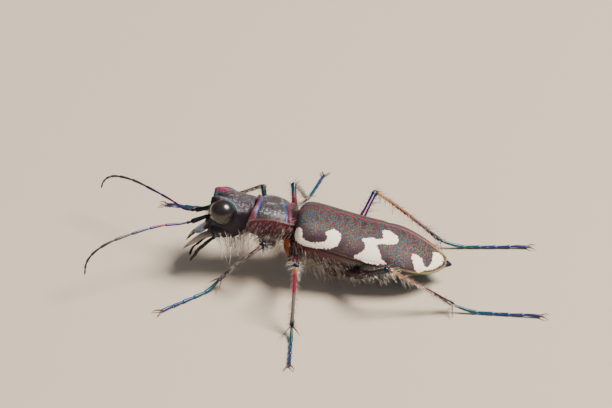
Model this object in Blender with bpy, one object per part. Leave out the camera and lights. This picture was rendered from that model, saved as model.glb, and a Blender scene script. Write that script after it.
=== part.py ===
"""Tiger beetle, a still life-size model that stands on its six feet.

Metres, +Z up, +X to the head, +Y to the beetle's left. The floor is z = 0 and the origin
lies under the middle of the whole animal, feelers and hind feet included. The body is
modelled level in its own frame, whose origin is the front end of the elytral suture, and
is then pitched and rolled. The legs run from sockets in the body to feet on the floor.
"""
import bpy
import bmesh
from random import Random
from math import acos, cos, pi, radians, sin, sqrt
from mathutils import Matrix, Vector

MM = 0.001
GAP = 0.25 * MM

# Pose of the body: nose up, left side raised.
BODY_ORIGIN = (0.9, 0.0, 4.2)
BODY_PITCH = radians(9.5)
BODY_ROLL = radians(13.0)

# Head, in millimetres. Rows: x, half width, top, bottom.
HEAD_SECTIONS = (
    (2.90, 1.08, -0.12, -1.92),
    (3.25, 1.22, -0.07, -2.15),
    (3.70, 1.28, -0.06, -2.35),
    (4.15, 1.26, -0.16, -2.42),
    (4.60, 1.15, -0.54, -2.42),
    (4.90, 1.00, -1.18, -2.40),
    (5.05, 0.85, -1.80, -2.38),
)
EYE_CENTRE = (4.20, 1.38, -0.86)
EYE_RADII = (0.75, 0.70, 0.74)
BROW_CENTRE = (4.46, 0.82, -0.38)
BROW_RADII = (0.52, 0.25, 0.20)
LABRUM_LENGTH = 0.85
LABRUM_WIDTH = 1.46
LABRUM_THICKNESS = 0.50
LABRUM_ROOT = (5.05, 0.0, -2.26)
LABRUM_SLOPE = radians(30)
MANDIBLE_PATH = ((4.66, 1.06, -2.44), (5.20, 1.22, -2.80), (5.76, 0.98, -3.34), (6.06, 0.42, -3.90))
MANDIBLE_WIDTHS = (0.34, 0.30, 0.24, 0.08)
# Teeth on the inner edge of each mandible: share of its length, and length.
MANDIBLE_TEETH = ((0.50, 0.62), (0.68, 0.56))
MANDIBLE_TOOTH_RADIUS = 0.15
MAXILLARY_PALP = ((3.86, 0.86, -2.50), (4.40, 0.78, -3.26), (4.98, 0.72, -3.86), (5.34, 0.66, -4.46))
LABIAL_PALP = ((3.24, 0.40, -2.42), (3.60, 0.42, -3.18), (4.14, 0.42, -3.86), (4.60, 0.38, -4.46))
PALP_RADIUS = 0.25
PALP_TIP_RADIUS = 0.15

# Antennae: joints in the floor frame, for each side, from the socket to the tip.
ANTENNA_SOCKET = (5.00, 0.74, -1.22)
ANTENNA_LEFT = ((7.25, 1.30, 3.48), (8.45, 1.90, 3.62), (9.27, 2.48, 3.68), (10.30, 3.18, 3.64),
                (11.25, 3.82, 3.50), (12.02, 4.28, 3.10), (12.42, 4.46, 2.52), (12.55, 4.40, 1.70))
ANTENNA_RIGHT = ((7.45, -0.95, 3.10), (8.52, -1.68, 3.16), (9.60, -2.40, 3.28), (10.78, -3.18, 3.36),
                 (11.78, -3.72, 3.26), (12.38, -4.10, 2.92), (12.74, -4.36, 2.42), (12.86, -4.38, 2.00))
ANTENNA_RADIUS = 0.25
ANTENNA_TIP_RADIUS = 0.20

# Prothorax. Rows: x, half width, top, bottom.
PRONOTUM_SECTIONS = (
    (0.58, 1.28, -0.22, -1.90),
    (0.74, 1.46, -0.12, -2.00),
    (0.94, 1.45, -0.13, -2.05),
    (1.18, 1.55, -0.03, -2.12),
    (1.62, 1.62, 0.01, -2.16),
    (2.02, 1.55, -0.01, -2.12),
    (2.28, 1.40, -0.08, -2.02),
    (2.42, 1.36, -0.08, -1.94),
    (2.63, 1.40, -0.06, -1.85),
)

# Elytra. Rows: x, half width, height at the suture, height of the side edge.
ELYTRON_SECTIONS = (
    (0.00, 1.84, -0.19, -1.46),
    (-0.22, 2.16, 0.00, -1.46),
    (-0.60, 2.31, 0.10, -1.47),
    (-1.20, 2.36, 0.12, -1.48),
    (-2.40, 2.40, 0.03, -1.58),
    (-3.60, 2.43, -0.05, -1.70),
    (-4.80, 2.44, -0.08, -1.73),
    (-5.80, 2.36, -0.15, -1.74),
    (-6.60, 2.20, -0.35, -1.80),
    (-7.30, 1.89, -0.61, -1.84),
    (-7.90, 1.39, -0.90, -1.82),
    (-8.25, 0.95, -1.09, -1.74),
    (-8.45, 0.61, -1.20, -1.66),
)
# How sharply the back is arched across, at the front and at the rear.
ELYTRON_ARCH = (0.85, 1.45)
ELYTRON_THICKNESS = 0.50

# Body under the elytra. Rows: x, bottom.
THORAX_FRONT = 0.32
THORAX_FRONT_TAPER = 0.30
THORAX_REAR = -3.50
ABDOMEN_REAR = -8.85
BODY_BOTTOM = ((0.32, -2.20), (0.00, -2.40), (-0.80, -2.80), (-1.80, -3.02), (-3.00, -3.05),
               (-4.50, -2.88), (-6.00, -2.64), (-7.20, -2.40), (-8.00, -2.20), (-8.85, -1.96))

# Coxae: centre and radii in the body frame, for the left side.
COXAE = {
    "fore": ((1.45, 0.64, -2.26), (0.55, 0.50, 0.55)),
    "mid": ((-0.22, 0.94, -2.58), (0.42, 0.52, 0.50)),
    "hind": ((-2.55, 0.98, -2.92), (0.62, 0.80, 0.42)),
}
# Legs: knee, ankle and claw root in the floor frame.
LEGS = {
    "fore_left": ((2.72, 3.45, 3.60), (5.20, 2.35, 0.62), (8.20, 5.25)),
    "mid_left": ((0.72, 5.05, 3.40), (0.80, 6.75, 0.52), (0.62, 9.95)),
    "hind_left": ((-4.30, 4.50, 3.12), (-7.92, 3.75, 0.52), (-12.75, 3.82)),
    "fore_right": ((3.44, -3.85, 3.03), (6.35, -5.75, 0.58), (9.30, -6.00)),
    "mid_right": ((1.76, -4.38, 2.95), (1.30, -6.88, 0.55), (0.50, -10.10)),
    "hind_right": ((-2.92, -4.75, 2.48), (-6.80, -2.85, 0.52), (-11.75, -3.30)),
}
FEMUR_RADII = {"fore": 0.34, "mid": 0.34, "hind": 0.32}
FEMUR_END_RADIUS = 0.25
FEMUR_BOW = {"fore": 0.10, "mid": 0.18, "hind": 0.34}
TIBIA_RADIUS = 0.25
TARSUS_RADIUS = 0.26
TARSUS_WAIST_RADIUS = 0.21
TARSUS_SINK = 0.03
TARSOMERES = 5
SPUR_LENGTH = 0.85
SPUR_RADIUS = 0.13
CLAW_LENGTH = 0.75
CLAW_RADIUS = 0.13
CLAW_SPREAD = radians(32)
SPINE_MIDDLE = 0.8
TIP_RADIUS = 0.04

# White hair locks, in millimetres at the root. They droop by a share of their length.
LOCK_WIDTH = 0.80
LOCK_THICKNESS = 0.50
LOCK_ROOT_DEPTH = 0.30
LOCK_DROOP = 0.35
LOCK_TAPER = ((0.35, 0.85), (0.75, 0.50), (1.0, 0.12))
LOCK_SCATTER = 0.15
LOCK_FLOOR_CLEARANCE = 0.25
LOCK_SEED = 7
# Rows of locks: first and last x, count, place from 0 at the back to 1 at the keel, length,
# backward lean.
THORAX_LOCKS = ((-0.25, -2.75, 5, 0.63, 1.05, 0.30), (-1.35, -2.30, 2, 0.74, 0.95, 0.45))
ABDOMEN_LOCKS = ((-4.20, -6.40, 4, 0.74, 0.80, 0.70),)
PRONOTUM_LOCKS = ((2.25, 1.20, 3, 0.62, 0.95, 0.05), (2.05, 1.30, 2, 0.76, 1.20, 0.15))

SECTION_STEPS = 8
TUBE_RESOLUTION = 2

COLOURS = {
    "head": (0.10, 0.07, 0.09, 0.35, 0.7),
    "eye": (0.07, 0.06, 0.05, 0.15, 0.0),
    "labrum": (0.72, 0.70, 0.64, 0.4, 0.0),
    "mandible": (0.80, 0.74, 0.60, 0.35, 0.0),
    "palp": (0.03, 0.05, 0.04, 0.3, 0.4),
    "antenna": (0.06, 0.07, 0.10, 0.4, 0.5),
    "pronotum": (0.22, 0.12, 0.12, 0.45, 0.6),
    "thorax": (0.14, 0.04, 0.04, 0.5, 0.4),
    "abdomen": (0.05, 0.10, 0.16, 0.35, 0.7),
    "elytron": (0.20, 0.09, 0.08, 0.4, 0.6),
    "coxa": (0.30, 0.11, 0.04, 0.4, 0.2),
    "femur": (0.20, 0.04, 0.08, 0.35, 0.6),
    "tibia": (0.35, 0.10, 0.06, 0.35, 0.4),
    "tarsus": (0.03, 0.14, 0.22, 0.3, 0.7),
}


def mm(point):
    return Vector(point) * MM


def clear_scene():
    for thing in list(bpy.data.objects):
        bpy.data.objects.remove(thing, do_unlink=True)


def new_collection(name):
    collection = bpy.data.collections.new(name)
    bpy.context.scene.collection.children.link(collection)
    return collection


def material_for(kind):
    name = "cuticle_" + kind
    if name in bpy.data.materials:
        return bpy.data.materials[name]
    red, green, blue, roughness, metallic = COLOURS[kind]
    material = bpy.data.materials.new(name)
    material.use_nodes = True
    shader = material.node_tree.nodes["Principled BSDF"]
    shader.inputs["Base Color"].default_value = (red, green, blue, 1.0)
    shader.inputs["Roughness"].default_value = roughness
    shader.inputs["Metallic"].default_value = metallic
    material.diffuse_color = (red, green, blue, 1.0)
    return material


def add_object(name, data, kind, collection, matrix=None):
    thing = bpy.data.objects.new(name, data)
    collection.objects.link(thing)
    if kind:
        data.materials.clear()
        data.materials.append(material_for(kind))
    if matrix is not None:
        thing.matrix_world = matrix
    return thing


def interpolate(rows, x):
    """Row of values at x, on a smooth curve through rows sorted by their first value."""
    rows = sorted(rows)
    for index in range(len(rows) - 1):
        if x <= rows[index + 1][0]:
            break
    low = rows[index]
    high = rows[index + 1]
    before = rows[max(index - 1, 0)]
    after = rows[min(index + 2, len(rows) - 1)]
    span = high[0] - low[0]
    t = min(max((x - low[0]) / span, 0.0), 1.0)
    values = []
    for k in range(1, len(low)):
        slope_low = (high[k] - before[k]) / (high[0] - before[0])
        slope_high = (after[k] - low[k]) / (after[0] - low[0])
        value = (2 * t**3 - 3 * t**2 + 1) * low[k] + (t**3 - 2 * t**2 + t) * span * slope_low
        value += (3 * t**2 - 2 * t**3) * high[k] + (t**3 - t**2) * span * slope_high
        values.append(value)
    return values


def smooth_path(points, steps):
    """Points along a Catmull-Rom curve, with steps between each pair of given points."""
    points = [Vector(p) for p in points]
    path = []
    for i in range(len(points) - 1):
        before = points[max(i - 1, 0)]
        after = points[min(i + 2, len(points) - 1)]
        slope_a = (points[i + 1] - before) / 2
        slope_b = (after - points[i]) / 2
        for k in range(steps):
            t = k / steps
            point = (2 * t**3 - 3 * t**2 + 1) * points[i] + (t**3 - 2 * t**2 + t) * slope_a
            path.append(point + (3 * t**2 - 2 * t**3) * points[i + 1] + (t**3 - t**2) * slope_b)
    path.append(points[-1])
    return path


def loft_mesh(name, rings):
    """Closed mesh through rings of equal point count, in millimetres, with flat ends."""
    bm = bmesh.new()
    loops = [[bm.verts.new(mm(p)) for p in ring] for ring in rings]
    count = len(rings[0])
    for near, far in zip(loops, loops[1:]):
        for k in range(count):
            following = (k + 1) % count
            bm.faces.new((near[k], near[following], far[following], far[k]))
    bm.faces.new(loops[0][::-1])
    bm.faces.new(loops[-1])
    bmesh.ops.triangulate(bm, faces=bm.faces[:])
    bmesh.ops.recalc_face_normals(bm, faces=bm.faces[:])
    mesh = bpy.data.meshes.new(name)
    bm.to_mesh(mesh)
    bm.free()
    return mesh


def round_section(x, half_width, top, bottom, widest, square):
    """Ring of a body section, widest at its own height, squarer as square falls below 1."""
    half = []
    for i in range(SECTION_STEPS + 1):
        angle = pi * i / SECTION_STEPS
        y = half_width * max(sin(angle), 0.0) ** square
        reach = top - widest if cos(angle) > 0 else widest - bottom
        half.append((x, y, widest + reach * cos(angle)))
    return half + [(x, -y, z) for x, y, z in half[-2:0:-1]]


def tube_mesh(name, path, radii, resolution=TUBE_RESOLUTION):
    """Mesh of a bevelled poly curve, in millimetres, with its caps welded on."""
    curve = bpy.data.curves.new(name, "CURVE")
    curve.dimensions = "3D"
    curve.bevel_depth = MM
    curve.bevel_resolution = resolution
    curve.use_fill_caps = True
    spline = curve.splines.new("POLY")
    spline.points.add(len(path) - 1)
    for point, place, radius in zip(spline.points, path, radii):
        point.co = (*mm(place), 1.0)
        point.radius = radius
    guide = bpy.data.objects.new(name, curve)
    bpy.context.scene.collection.objects.link(guide)
    bpy.context.view_layer.update()
    evaluated = guide.evaluated_get(bpy.context.evaluated_depsgraph_get())
    mesh = bpy.data.meshes.new_from_object(evaluated)
    bpy.data.objects.remove(guide, do_unlink=True)
    bpy.data.curves.remove(curve)
    bm = bmesh.new()
    bm.from_mesh(mesh)
    bmesh.ops.remove_doubles(bm, verts=bm.verts[:], dist=1e-7)
    bmesh.ops.recalc_face_normals(bm, faces=bm.faces[:])
    bm.to_mesh(mesh)
    bm.free()
    return mesh


def ellipsoid_mesh(name, centre, radii, segments=20, rings=12):
    bm = bmesh.new()
    bmesh.ops.create_uvsphere(bm, u_segments=segments, v_segments=rings, radius=1.0)
    matrix = Matrix.Translation(mm(centre)) @ Matrix.Diagonal((*mm(radii), 1.0))
    bmesh.ops.transform(bm, matrix=matrix, verts=bm.verts[:])
    mesh = bpy.data.meshes.new(name)
    bm.to_mesh(mesh)
    bm.free()
    return mesh


def largest_closed_surface(mesh):
    """Keep only the connected surface with the largest volume."""
    bm = bmesh.new()
    bm.from_mesh(mesh)
    unseen = set(bm.verts)
    groups = []
    while unseen:
        stack = [unseen.pop()]
        group = set(stack)
        while stack:
            for edge in stack.pop().link_edges:
                for vert in edge.verts:
                    if vert in unseen:
                        unseen.remove(vert)
                        group.add(vert)
                        stack.append(vert)
        groups.append(group)
    if len(groups) > 1:
        keep = max(groups, key=surface_volume)
        bmesh.ops.delete(bm, geom=[v for v in bm.verts if v not in keep], context="VERTS")
        bm.to_mesh(mesh)
    bm.free()


def surface_volume(verts):
    total = 0.0
    for face in {face for vert in verts for face in vert.link_faces}:
        corners = [vert.co for vert in face.verts]
        for b, c in zip(corners[1:], corners[2:]):
            total += corners[0].dot(b.cross(c)) / 6
    return abs(total)


def combine(thing, pieces, operation, solver="EXACT"):
    """Join meshes to a node, or cut them from it, in one Boolean that is then applied."""
    tools = bpy.data.collections.new(thing.name + "_" + operation.lower())
    CUTTERS.children.link(tools)
    for index, mesh in enumerate(pieces):
        piece = add_object("%s_tool_%d" % (thing.name, index), mesh, None, tools, thing.matrix_world)
        piece.hide_render = True
        piece.display_type = "WIRE"
    boolean = thing.modifiers.new(operation.lower(), "BOOLEAN")
    boolean.operation = operation
    boolean.operand_type = "COLLECTION"
    boolean.collection = tools
    boolean.solver = solver
    bpy.context.view_layer.update()
    evaluated = thing.evaluated_get(bpy.context.evaluated_depsgraph_get())
    mesh = bpy.data.meshes.new_from_object(evaluated)
    thing.modifiers.remove(boolean)
    materials = list(thing.data.materials)
    thing.data = mesh
    mesh.materials.clear()
    for material in materials:
        mesh.materials.append(material)
    mesh.polygons.foreach_set("material_index", [0] * len(mesh.polygons))
    largest_closed_surface(mesh)
    for piece in list(tools.objects):
        bpy.data.objects.remove(piece, do_unlink=True)
    bpy.data.collections.remove(tools)


def body_matrix():
    return (Matrix.Translation(mm(BODY_ORIGIN)) @ Matrix.Rotation(BODY_ROLL, 4, "X")
            @ Matrix.Rotation(-BODY_PITCH, 4, "Y"))


def mirrored(point, side):
    return (point[0], side * point[1], point[2])


def grown(radii):
    return tuple(radius + GAP / MM for radius in radii)


def lock_mesh(root, heading, length):
    """Flat lock of hair that leaves its root along heading, droops and tapers to a point."""
    heading = heading.normalized()
    across = heading.cross(Vector((0, 0, 1))).normalized()
    rings = []
    for share, size in ((-LOCK_ROOT_DEPTH / length, 1.0), *LOCK_TAPER):
        droop = LOCK_DROOP * max(share, 0.0)
        centre = root + heading * length * share - Vector((0, 0, droop * length * share))
        along = (heading - Vector((0, 0, 2 * droop))).normalized()
        flat = across * LOCK_WIDTH / 2 * size
        thick = along.cross(across).normalized() * LOCK_THICKNESS / 2 * size
        rings.append([centre + flat, centre + thick, centre - flat, centre - thick])
    return loft_mesh("lock", rings)


def lock_rows(rows, section):
    """Locks in rows on both sides of a body part, whose section(x) gives its ring of points."""
    random = Random(LOCK_SEED)
    pieces = []
    for first, last, count, share, length, lean in rows:
        for index in range(count):
            shift = random.uniform(-LOCK_SCATTER, LOCK_SCATTER)
            x = first + (last - first) * (index + shift) / (count - 1)
            ring = section(x)
            half = ring[:len(ring) // 2 + 1]
            place = share * (len(half) - 1)
            low = int(place)
            root = Vector(half[low]).lerp(Vector(half[low + 1]), place - low)
            tangent = (Vector(half[low + 1]) - Vector(half[low])).normalized()
            outward = Vector((0, -tangent.z, tangent.y)).normalized()
            heading = outward + Vector((random.uniform(-LOCK_SCATTER, LOCK_SCATTER) - lean, 0, 0))
            reach = length * random.uniform(1 - LOCK_SCATTER, 1 + LOCK_SCATTER)
            for side in (1, -1):
                start = Vector(mirrored(root, side))
                onward = Vector(mirrored(heading, side)).normalized()
                pieces.append(lock_mesh(start, onward, floor_reach(start, onward, reach)))
    return pieces


def floor_reach(root, heading, length):
    """Length cut back until a lock's tip, with its droop, stays clear of the floor."""
    while True:
        tip = root + heading * length - Vector((0, 0, LOCK_DROOP * length))
        if (body_matrix() @ (tip * MM)).z / MM > LOCK_FLOOR_CLEARANCE or length < LOCK_WIDTH / 2:
            return length
        length *= 0.92


def head_section(x):
    half_width, top, bottom = interpolate(HEAD_SECTIONS, x)
    return round_section(x, half_width, top, bottom, (top + bottom) / 2, 0.7)


def make_head():
    rear = HEAD_SECTIONS[0][0]
    front = HEAD_SECTIONS[-1][0]
    rings = [head_section(rear + (front - rear) * step / 12) for step in range(13)]
    head = add_object("head", loft_mesh("head", rings), "head", PARTS, body_matrix())
    brows = [ellipsoid_mesh("brow", mirrored(BROW_CENTRE, side), BROW_RADII, 14, 8) for side in (1, -1)]
    combine(head, brows, "UNION")
    sockets = []
    for side in (1, -1):
        sockets.append(ellipsoid_mesh("eye_socket", mirrored(EYE_CENTRE, side), grown(EYE_RADII), 16, 10))
        sockets.append(ball(mirrored(ANTENNA_SOCKET, side), ANTENNA_RADIUS))
        sockets.append(ball(mirrored(MANDIBLE_PATH[0], side), MANDIBLE_WIDTHS[0]))
        sockets.append(ball(mirrored(MAXILLARY_PALP[0], side), PALP_RADIUS))
        sockets.append(ball(mirrored(LABIAL_PALP[0], side), PALP_RADIUS))
    combine(head, sockets, "DIFFERENCE")


def ball(centre, radius):
    """Cutter for a round socket that clears a root of the given radius by the gap."""
    return ellipsoid_mesh("socket", centre, grown((radius, radius, radius)), 10, 6)


def make_eye(name, side):
    eye = ellipsoid_mesh(name, mirrored(EYE_CENTRE, side), EYE_RADII, 18, 11)
    add_object(name, eye, "eye", PARTS, body_matrix())


def make_labrum():
    """Upper lip: a flat outline with a rounded front that ends in one small tooth."""
    half = LABRUM_WIDTH / 2
    outline = [(0.0, half * 0.9)]
    for step in range(7):
        angle = pi / 2 * step / 6
        outline.append((LABRUM_LENGTH * (0.25 + 0.57 * sin(angle)), half * cos(angle) ** 0.6 + 0.08))
    outline.append((LABRUM_LENGTH, 0.0))
    outline += [(x, -y) for x, y in outline[-2::-1]]
    curve = bpy.data.curves.new("labrum", "CURVE")
    curve.dimensions = "2D"
    curve.fill_mode = "BOTH"
    curve.extrude = LABRUM_THICKNESS / 2 * MM
    spline = curve.splines.new("POLY")
    spline.points.add(len(outline) - 1)
    for point, place in zip(spline.points, outline):
        point.co = (*mm((*place, 0.0)), 1.0)
    spline.use_cyclic_u = True
    place = Matrix.Translation(mm(LABRUM_ROOT) + Vector((GAP, 0, 0))) @ Matrix.Rotation(LABRUM_SLOPE, 4, "Y")
    add_object("labrum", curve, "labrum", PARTS, body_matrix() @ place)


def spine_mesh(root, tip, radius):
    """Straight spine that keeps most of its thickness to the middle, then ends in a point."""
    path = [root, root.lerp(tip, 0.5), tip]
    return tube_mesh("spine", path, [radius, radius * SPINE_MIDDLE, TIP_RADIUS], 1)


def make_mandible(name, side):
    path = smooth_path([mirrored(p, side) for p in MANDIBLE_PATH], 3)
    radii = smooth_path([(r, 0, 0) for r in MANDIBLE_WIDTHS], 3)
    mesh = tube_mesh(name, path, [r[0] for r in radii], 3)
    mandible = add_object(name, mesh, "mandible", PARTS, body_matrix())
    teeth = []
    for share, length in MANDIBLE_TEETH:
        place = share * (len(path) - 1)
        low = int(place)
        root = path[low].lerp(path[low + 1], place - low)
        onward = (path[low + 1] - path[low]).normalized()
        heading = (onward * 0.35 - Vector((0, side, 0))).normalized()
        teeth.append(spine_mesh(root, root + heading * length, MANDIBLE_TOOTH_RADIUS))
    combine(mandible, teeth, "UNION")


def make_palp(name, points, side):
    path = smooth_path([mirrored(p, side) for p in points], 3)
    last = len(path) - 1
    radii = [PALP_RADIUS + (PALP_TIP_RADIUS - PALP_RADIUS) * (i / last) ** 2 for i in range(last + 1)]
    add_object(name, tube_mesh(name, path, radii), "palp", PARTS, body_matrix())


def split_path(path, cuts, gap):
    """Lengths of a path between cuts, given as distances along it, with a gap at each cut."""
    pieces = []
    edges = [0.0] + list(cuts) + [None]
    for start, end in zip(edges, edges[1:]):
        first = start + gap / 2 if start > 0 else 0.0
        last = end - gap / 2 if end is not None else None
        pieces.append(clip_path(path, first, last))
    return pieces


def clip_path(path, first, last):
    """The part of a path between two distances along it."""
    clipped = []
    travelled = 0.0
    for a, b in zip(path, path[1:]):
        length = (b - a).length
        for t in ((first - travelled) / length, ((last or 1e9) - travelled) / length):
            if 0.0 <= t < 1.0:
                clipped.append((travelled + t * length, a.lerp(b, t)))
        if first < travelled and (last is None or travelled < last):
            clipped.append((travelled, a))
        travelled += length
    if last is None:
        clipped.append((travelled, path[-1]))
    clipped.sort(key=lambda item: item[0])
    return [place for _, place in clipped]


def make_antenna(side_name, side, joints):
    socket = body_matrix() @ mm(mirrored(ANTENNA_SOCKET, side)) / MM
    path = smooth_path([socket] + [Vector(j) for j in joints], 3)
    total = sum((b - a).length for a, b in zip(path, path[1:]))
    lengths = split_path(path, (total * 0.30, total * 0.64), GAP / MM)
    done = 0.0
    for part, piece in zip(("base", "middle", "tip"), lengths):
        radii = []
        for i, place in enumerate(piece):
            if i:
                done += (place - piece[i - 1]).length
            radii.append(ANTENNA_RADIUS + (ANTENNA_TIP_RADIUS - ANTENNA_RADIUS) * done / total)
        name = "antenna_%s_%s" % (side_name, part)
        add_object(name, tube_mesh(name, piece, radii), "antenna", PARTS)


def pronotum_section(x):
    half_width, top, bottom = interpolate(PRONOTUM_SECTIONS, x)
    return round_section(x, half_width, top, bottom, top * 0.6 + bottom * 0.4, 0.65)


def make_pronotum():
    rear = PRONOTUM_SECTIONS[0][0]
    front = PRONOTUM_SECTIONS[-1][0]
    rings = [pronotum_section(rear + (front - rear) * step / 16) for step in range(17)]
    pronotum = add_object("pronotum", loft_mesh("pronotum", rings), "pronotum", PARTS, body_matrix())
    combine(pronotum, lock_rows(PRONOTUM_LOCKS, pronotum_section), "UNION")
    clearance = femur_clearance(("fore_left", "fore_right"))
    combine(pronotum, coxa_sockets("fore") + clearance, "DIFFERENCE")


def elytron_half(x, inset):
    """Half section of an elytron at x, from suture to side edge, pushed in by inset."""
    half_width, suture, edge = interpolate(ELYTRON_SECTIONS, x)
    inner = GAP / MM / 2
    width = half_width - inset - inner
    rise = max(suture - inset - edge, 0.0)
    front, rear = ELYTRON_ARCH
    arch = front + (rear - front) * x / ELYTRON_SECTIONS[-1][0]
    points = []
    for i in range(SECTION_STEPS + 1):
        angle = pi / 2 * i / SECTION_STEPS
        points.append((x, inner + width * sin(angle), edge + rise * max(cos(angle), 0.0) ** arch))
    return points


def make_elytron(name, side):
    rings = []
    front = ELYTRON_SECTIONS[0][0]
    rear = ELYTRON_SECTIONS[-1][0]
    steps = 18
    for step in range(steps + 1):
        t = step / steps
        x = front + (rear - front) * (0.5 - 0.5 * cos(pi * t)) * 0.5 + (rear - front) * t * 0.5
        half_width = interpolate(ELYTRON_SECTIONS, x)[0]
        thickness = min(ELYTRON_THICKNESS, half_width * 0.75)
        outer = elytron_half(x, 0.0)
        inner = elytron_half(x, thickness)
        rings.append([mirrored(p, side) for p in outer + inner[::-1]])
    add_object(name, loft_mesh(name, rings), "elytron", PARTS, body_matrix())


def under_section(x):
    """Section of the body under the elytra: inside their shell, then out below their edge."""
    clear = ELYTRON_THICKNESS + GAP / MM * 1.2
    inside = min(max(x, ELYTRON_SECTIONS[-1][0]), ELYTRON_SECTIONS[0][0])
    half_width, suture, edge = interpolate(ELYTRON_SECTIONS, inside)
    half_width *= 1 - THORAX_FRONT_TAPER * max(x, 0.0) / THORAX_FRONT
    bottom = interpolate(BODY_BOTTOM, x)[0]
    shell_width = max(half_width - clear, 0.15)
    ledge = edge - GAP / MM
    rise = max(suture - clear - ledge, 0.0)
    side_width = max(half_width - 0.12, 0.3)
    front, rear = ELYTRON_ARCH
    arch = front + (rear - front) * inside / ELYTRON_SECTIONS[-1][0]
    half = []
    for i in range(6):
        angle = pi / 2 * i / 5
        half.append((x, shell_width * sin(angle), ledge + rise * max(cos(angle), 0.0) ** arch))
    for i in range(6):
        angle = pi / 2 * i / 5
        half.append((x, side_width * max(cos(angle), 0.0) ** 1.2, ledge - (ledge - bottom) * sin(angle)))
    return half + [(x, -y, z) for x, y, z in half[-2:0:-1]]


def make_under_body(name, kind, front, rear, steps):
    rings = [under_section(front + (rear - front) * step / steps) for step in range(steps + 1)]
    return add_object(name, loft_mesh(name, rings), kind, PARTS, body_matrix())


def coxa_sockets(pair):
    centre, radii = COXAE[pair]
    return [ellipsoid_mesh("coxa_socket", mirrored(centre, side), grown(radii), 14, 8) for side in (1, -1)]


def femur_path(leg):
    """From the coxa's surface to the knee, bowed down a little, in the floor frame."""
    pair, side_name = leg.split("_")
    side = 1 if side_name == "left" else -1
    centre, radii = COXAE[pair]
    centre = Vector(mirrored(centre, side))
    knee = body_matrix().inverted() @ mm(LEGS[leg][0]) / MM
    middle = (centre + knee) / 2 - Vector((0, 0, FEMUR_BOW[pair]))
    heading = (middle - centre).normalized()
    reach = 1 / sqrt(sum((h / r) ** 2 for h, r in zip(heading, radii)))
    hip = centre + heading * (reach + GAP / MM * 1.3)
    path = smooth_path((hip, middle, knee), 5)
    return [body_matrix() @ (place * MM) / MM for place in path]


def make_femur(leg):
    pair = leg.split("_")[0]
    path = femur_path(leg)
    last = len(path) - 1
    radii = []
    for i in range(last + 1):
        swell = sin(pi * min(i / last * 1.15, 1.0)) ** 0.8
        radii.append(FEMUR_END_RADIUS + (FEMUR_RADII[pair] - FEMUR_END_RADIUS) * swell)
    name = "femur_" + leg
    add_object(name, tube_mesh(name, path, radii), "femur", PARTS)
    return path


def clear_start(before, joint, after, radius_before, radius_after):
    """Distance from a joint at which the next segment starts, clear of the one before."""
    back = (Vector(before) - Vector(joint)).normalized()
    onward = (Vector(after) - Vector(joint)).normalized()
    angle = acos(max(-1.0, min(1.0, back.dot(onward))))
    if angle > pi / 2:
        return radius_before * sin(angle) + GAP / MM
    return (radius_before + GAP / MM + radius_after * cos(angle)) / sin(angle)


def make_tibia(leg, femur):
    knee, ankle, _ = (Vector(p) for p in LEGS[leg])
    start = clear_start(femur[-3], knee, ankle, FEMUR_END_RADIUS, TIBIA_RADIUS)
    onward = (ankle - knee).normalized()
    first = knee + onward * start
    path = [first.lerp(ankle, i / 6) for i in range(7)]
    radii = [TIBIA_RADIUS] * 7
    name = "tibia_" + leg
    tibia = add_object(name, tube_mesh(name, path, radii), "tibia", PARTS)
    combine(tibia, spurs(leg), "UNION")


def spurs(leg):
    """Two straight spines at the tibia's end, one to each side of the foot."""
    knee, ankle, toe = LEGS[leg]
    knee = Vector(knee)
    ankle = Vector(ankle)
    toe = Vector((*toe, TARSUS_RADIUS))
    down = (ankle - knee).normalized()
    foot = (toe - ankle).normalized()
    across = down.cross(foot).normalized()
    pieces = []
    for side in (1, -1):
        heading = (foot * 0.35 + across * side * 0.9 + down * 0.1).normalized()
        heading.z = max(heading.z, -0.12)
        root = ankle - down * 0.12
        tip = root + heading.normalized() * SPUR_LENGTH
        tip.z = max(tip.z, TIP_RADIUS * 2)
        pieces.append(spine_mesh(root, tip, SPUR_RADIUS))
    return pieces


def make_tarsus(leg):
    """Five tarsomeres, each wider at its far end, that rest on the floor, and two claws."""
    knee, ankle, toe = LEGS[leg]
    ankle = Vector(ankle)
    level = TARSUS_RADIUS - TARSUS_SINK
    toe = Vector((*toe, level))
    start = clear_start(knee, ankle, toe, TIBIA_RADIUS, TARSUS_RADIUS)
    onward = (toe - ankle).normalized()
    first = ankle + onward * start
    path = []
    radii = []
    for segment in range(TARSOMERES):
        for part, radius in ((0.0, TARSUS_WAIST_RADIUS), (0.6, TARSUS_RADIUS), (0.9, TARSUS_RADIUS)):
            place = first.lerp(toe, (segment + part) / TARSOMERES)
            drop = min((segment + part) * 2.2, 1.0)
            place.z = first.z + (level - first.z) * drop
            path.append(place)
            radii.append(radius)
    path.append(toe)
    radii.append(TARSUS_WAIST_RADIUS)
    name = "tarsus_" + leg
    tarsus = add_object(name, tube_mesh(name, path, radii), "tarsus", PARTS)
    combine(tarsus, claws(path), "UNION")
    combine(tarsus, [floor_block()], "DIFFERENCE")


def claws(path):
    toe = path[-1]
    onward = (toe - path[-2]).normalized()
    onward.z = 0.0
    pieces = []
    for side in (1, -1):
        heading = Matrix.Rotation(side * CLAW_SPREAD, 3, "Z") @ onward.normalized()
        root = toe - onward * 0.2
        middle = root + heading * CLAW_LENGTH * 0.6 + Vector((0, 0, 0.06))
        tip = root + heading * CLAW_LENGTH * 1.2
        tip.z = TIP_RADIUS * 2
        curve = smooth_path((root, middle, tip), 3)
        last = len(curve) - 1
        radii = [CLAW_RADIUS + (TIP_RADIUS - CLAW_RADIUS) * i / last for i in range(last + 1)]
        pieces.append(tube_mesh("claw", curve, radii, 1))
    return pieces


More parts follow.
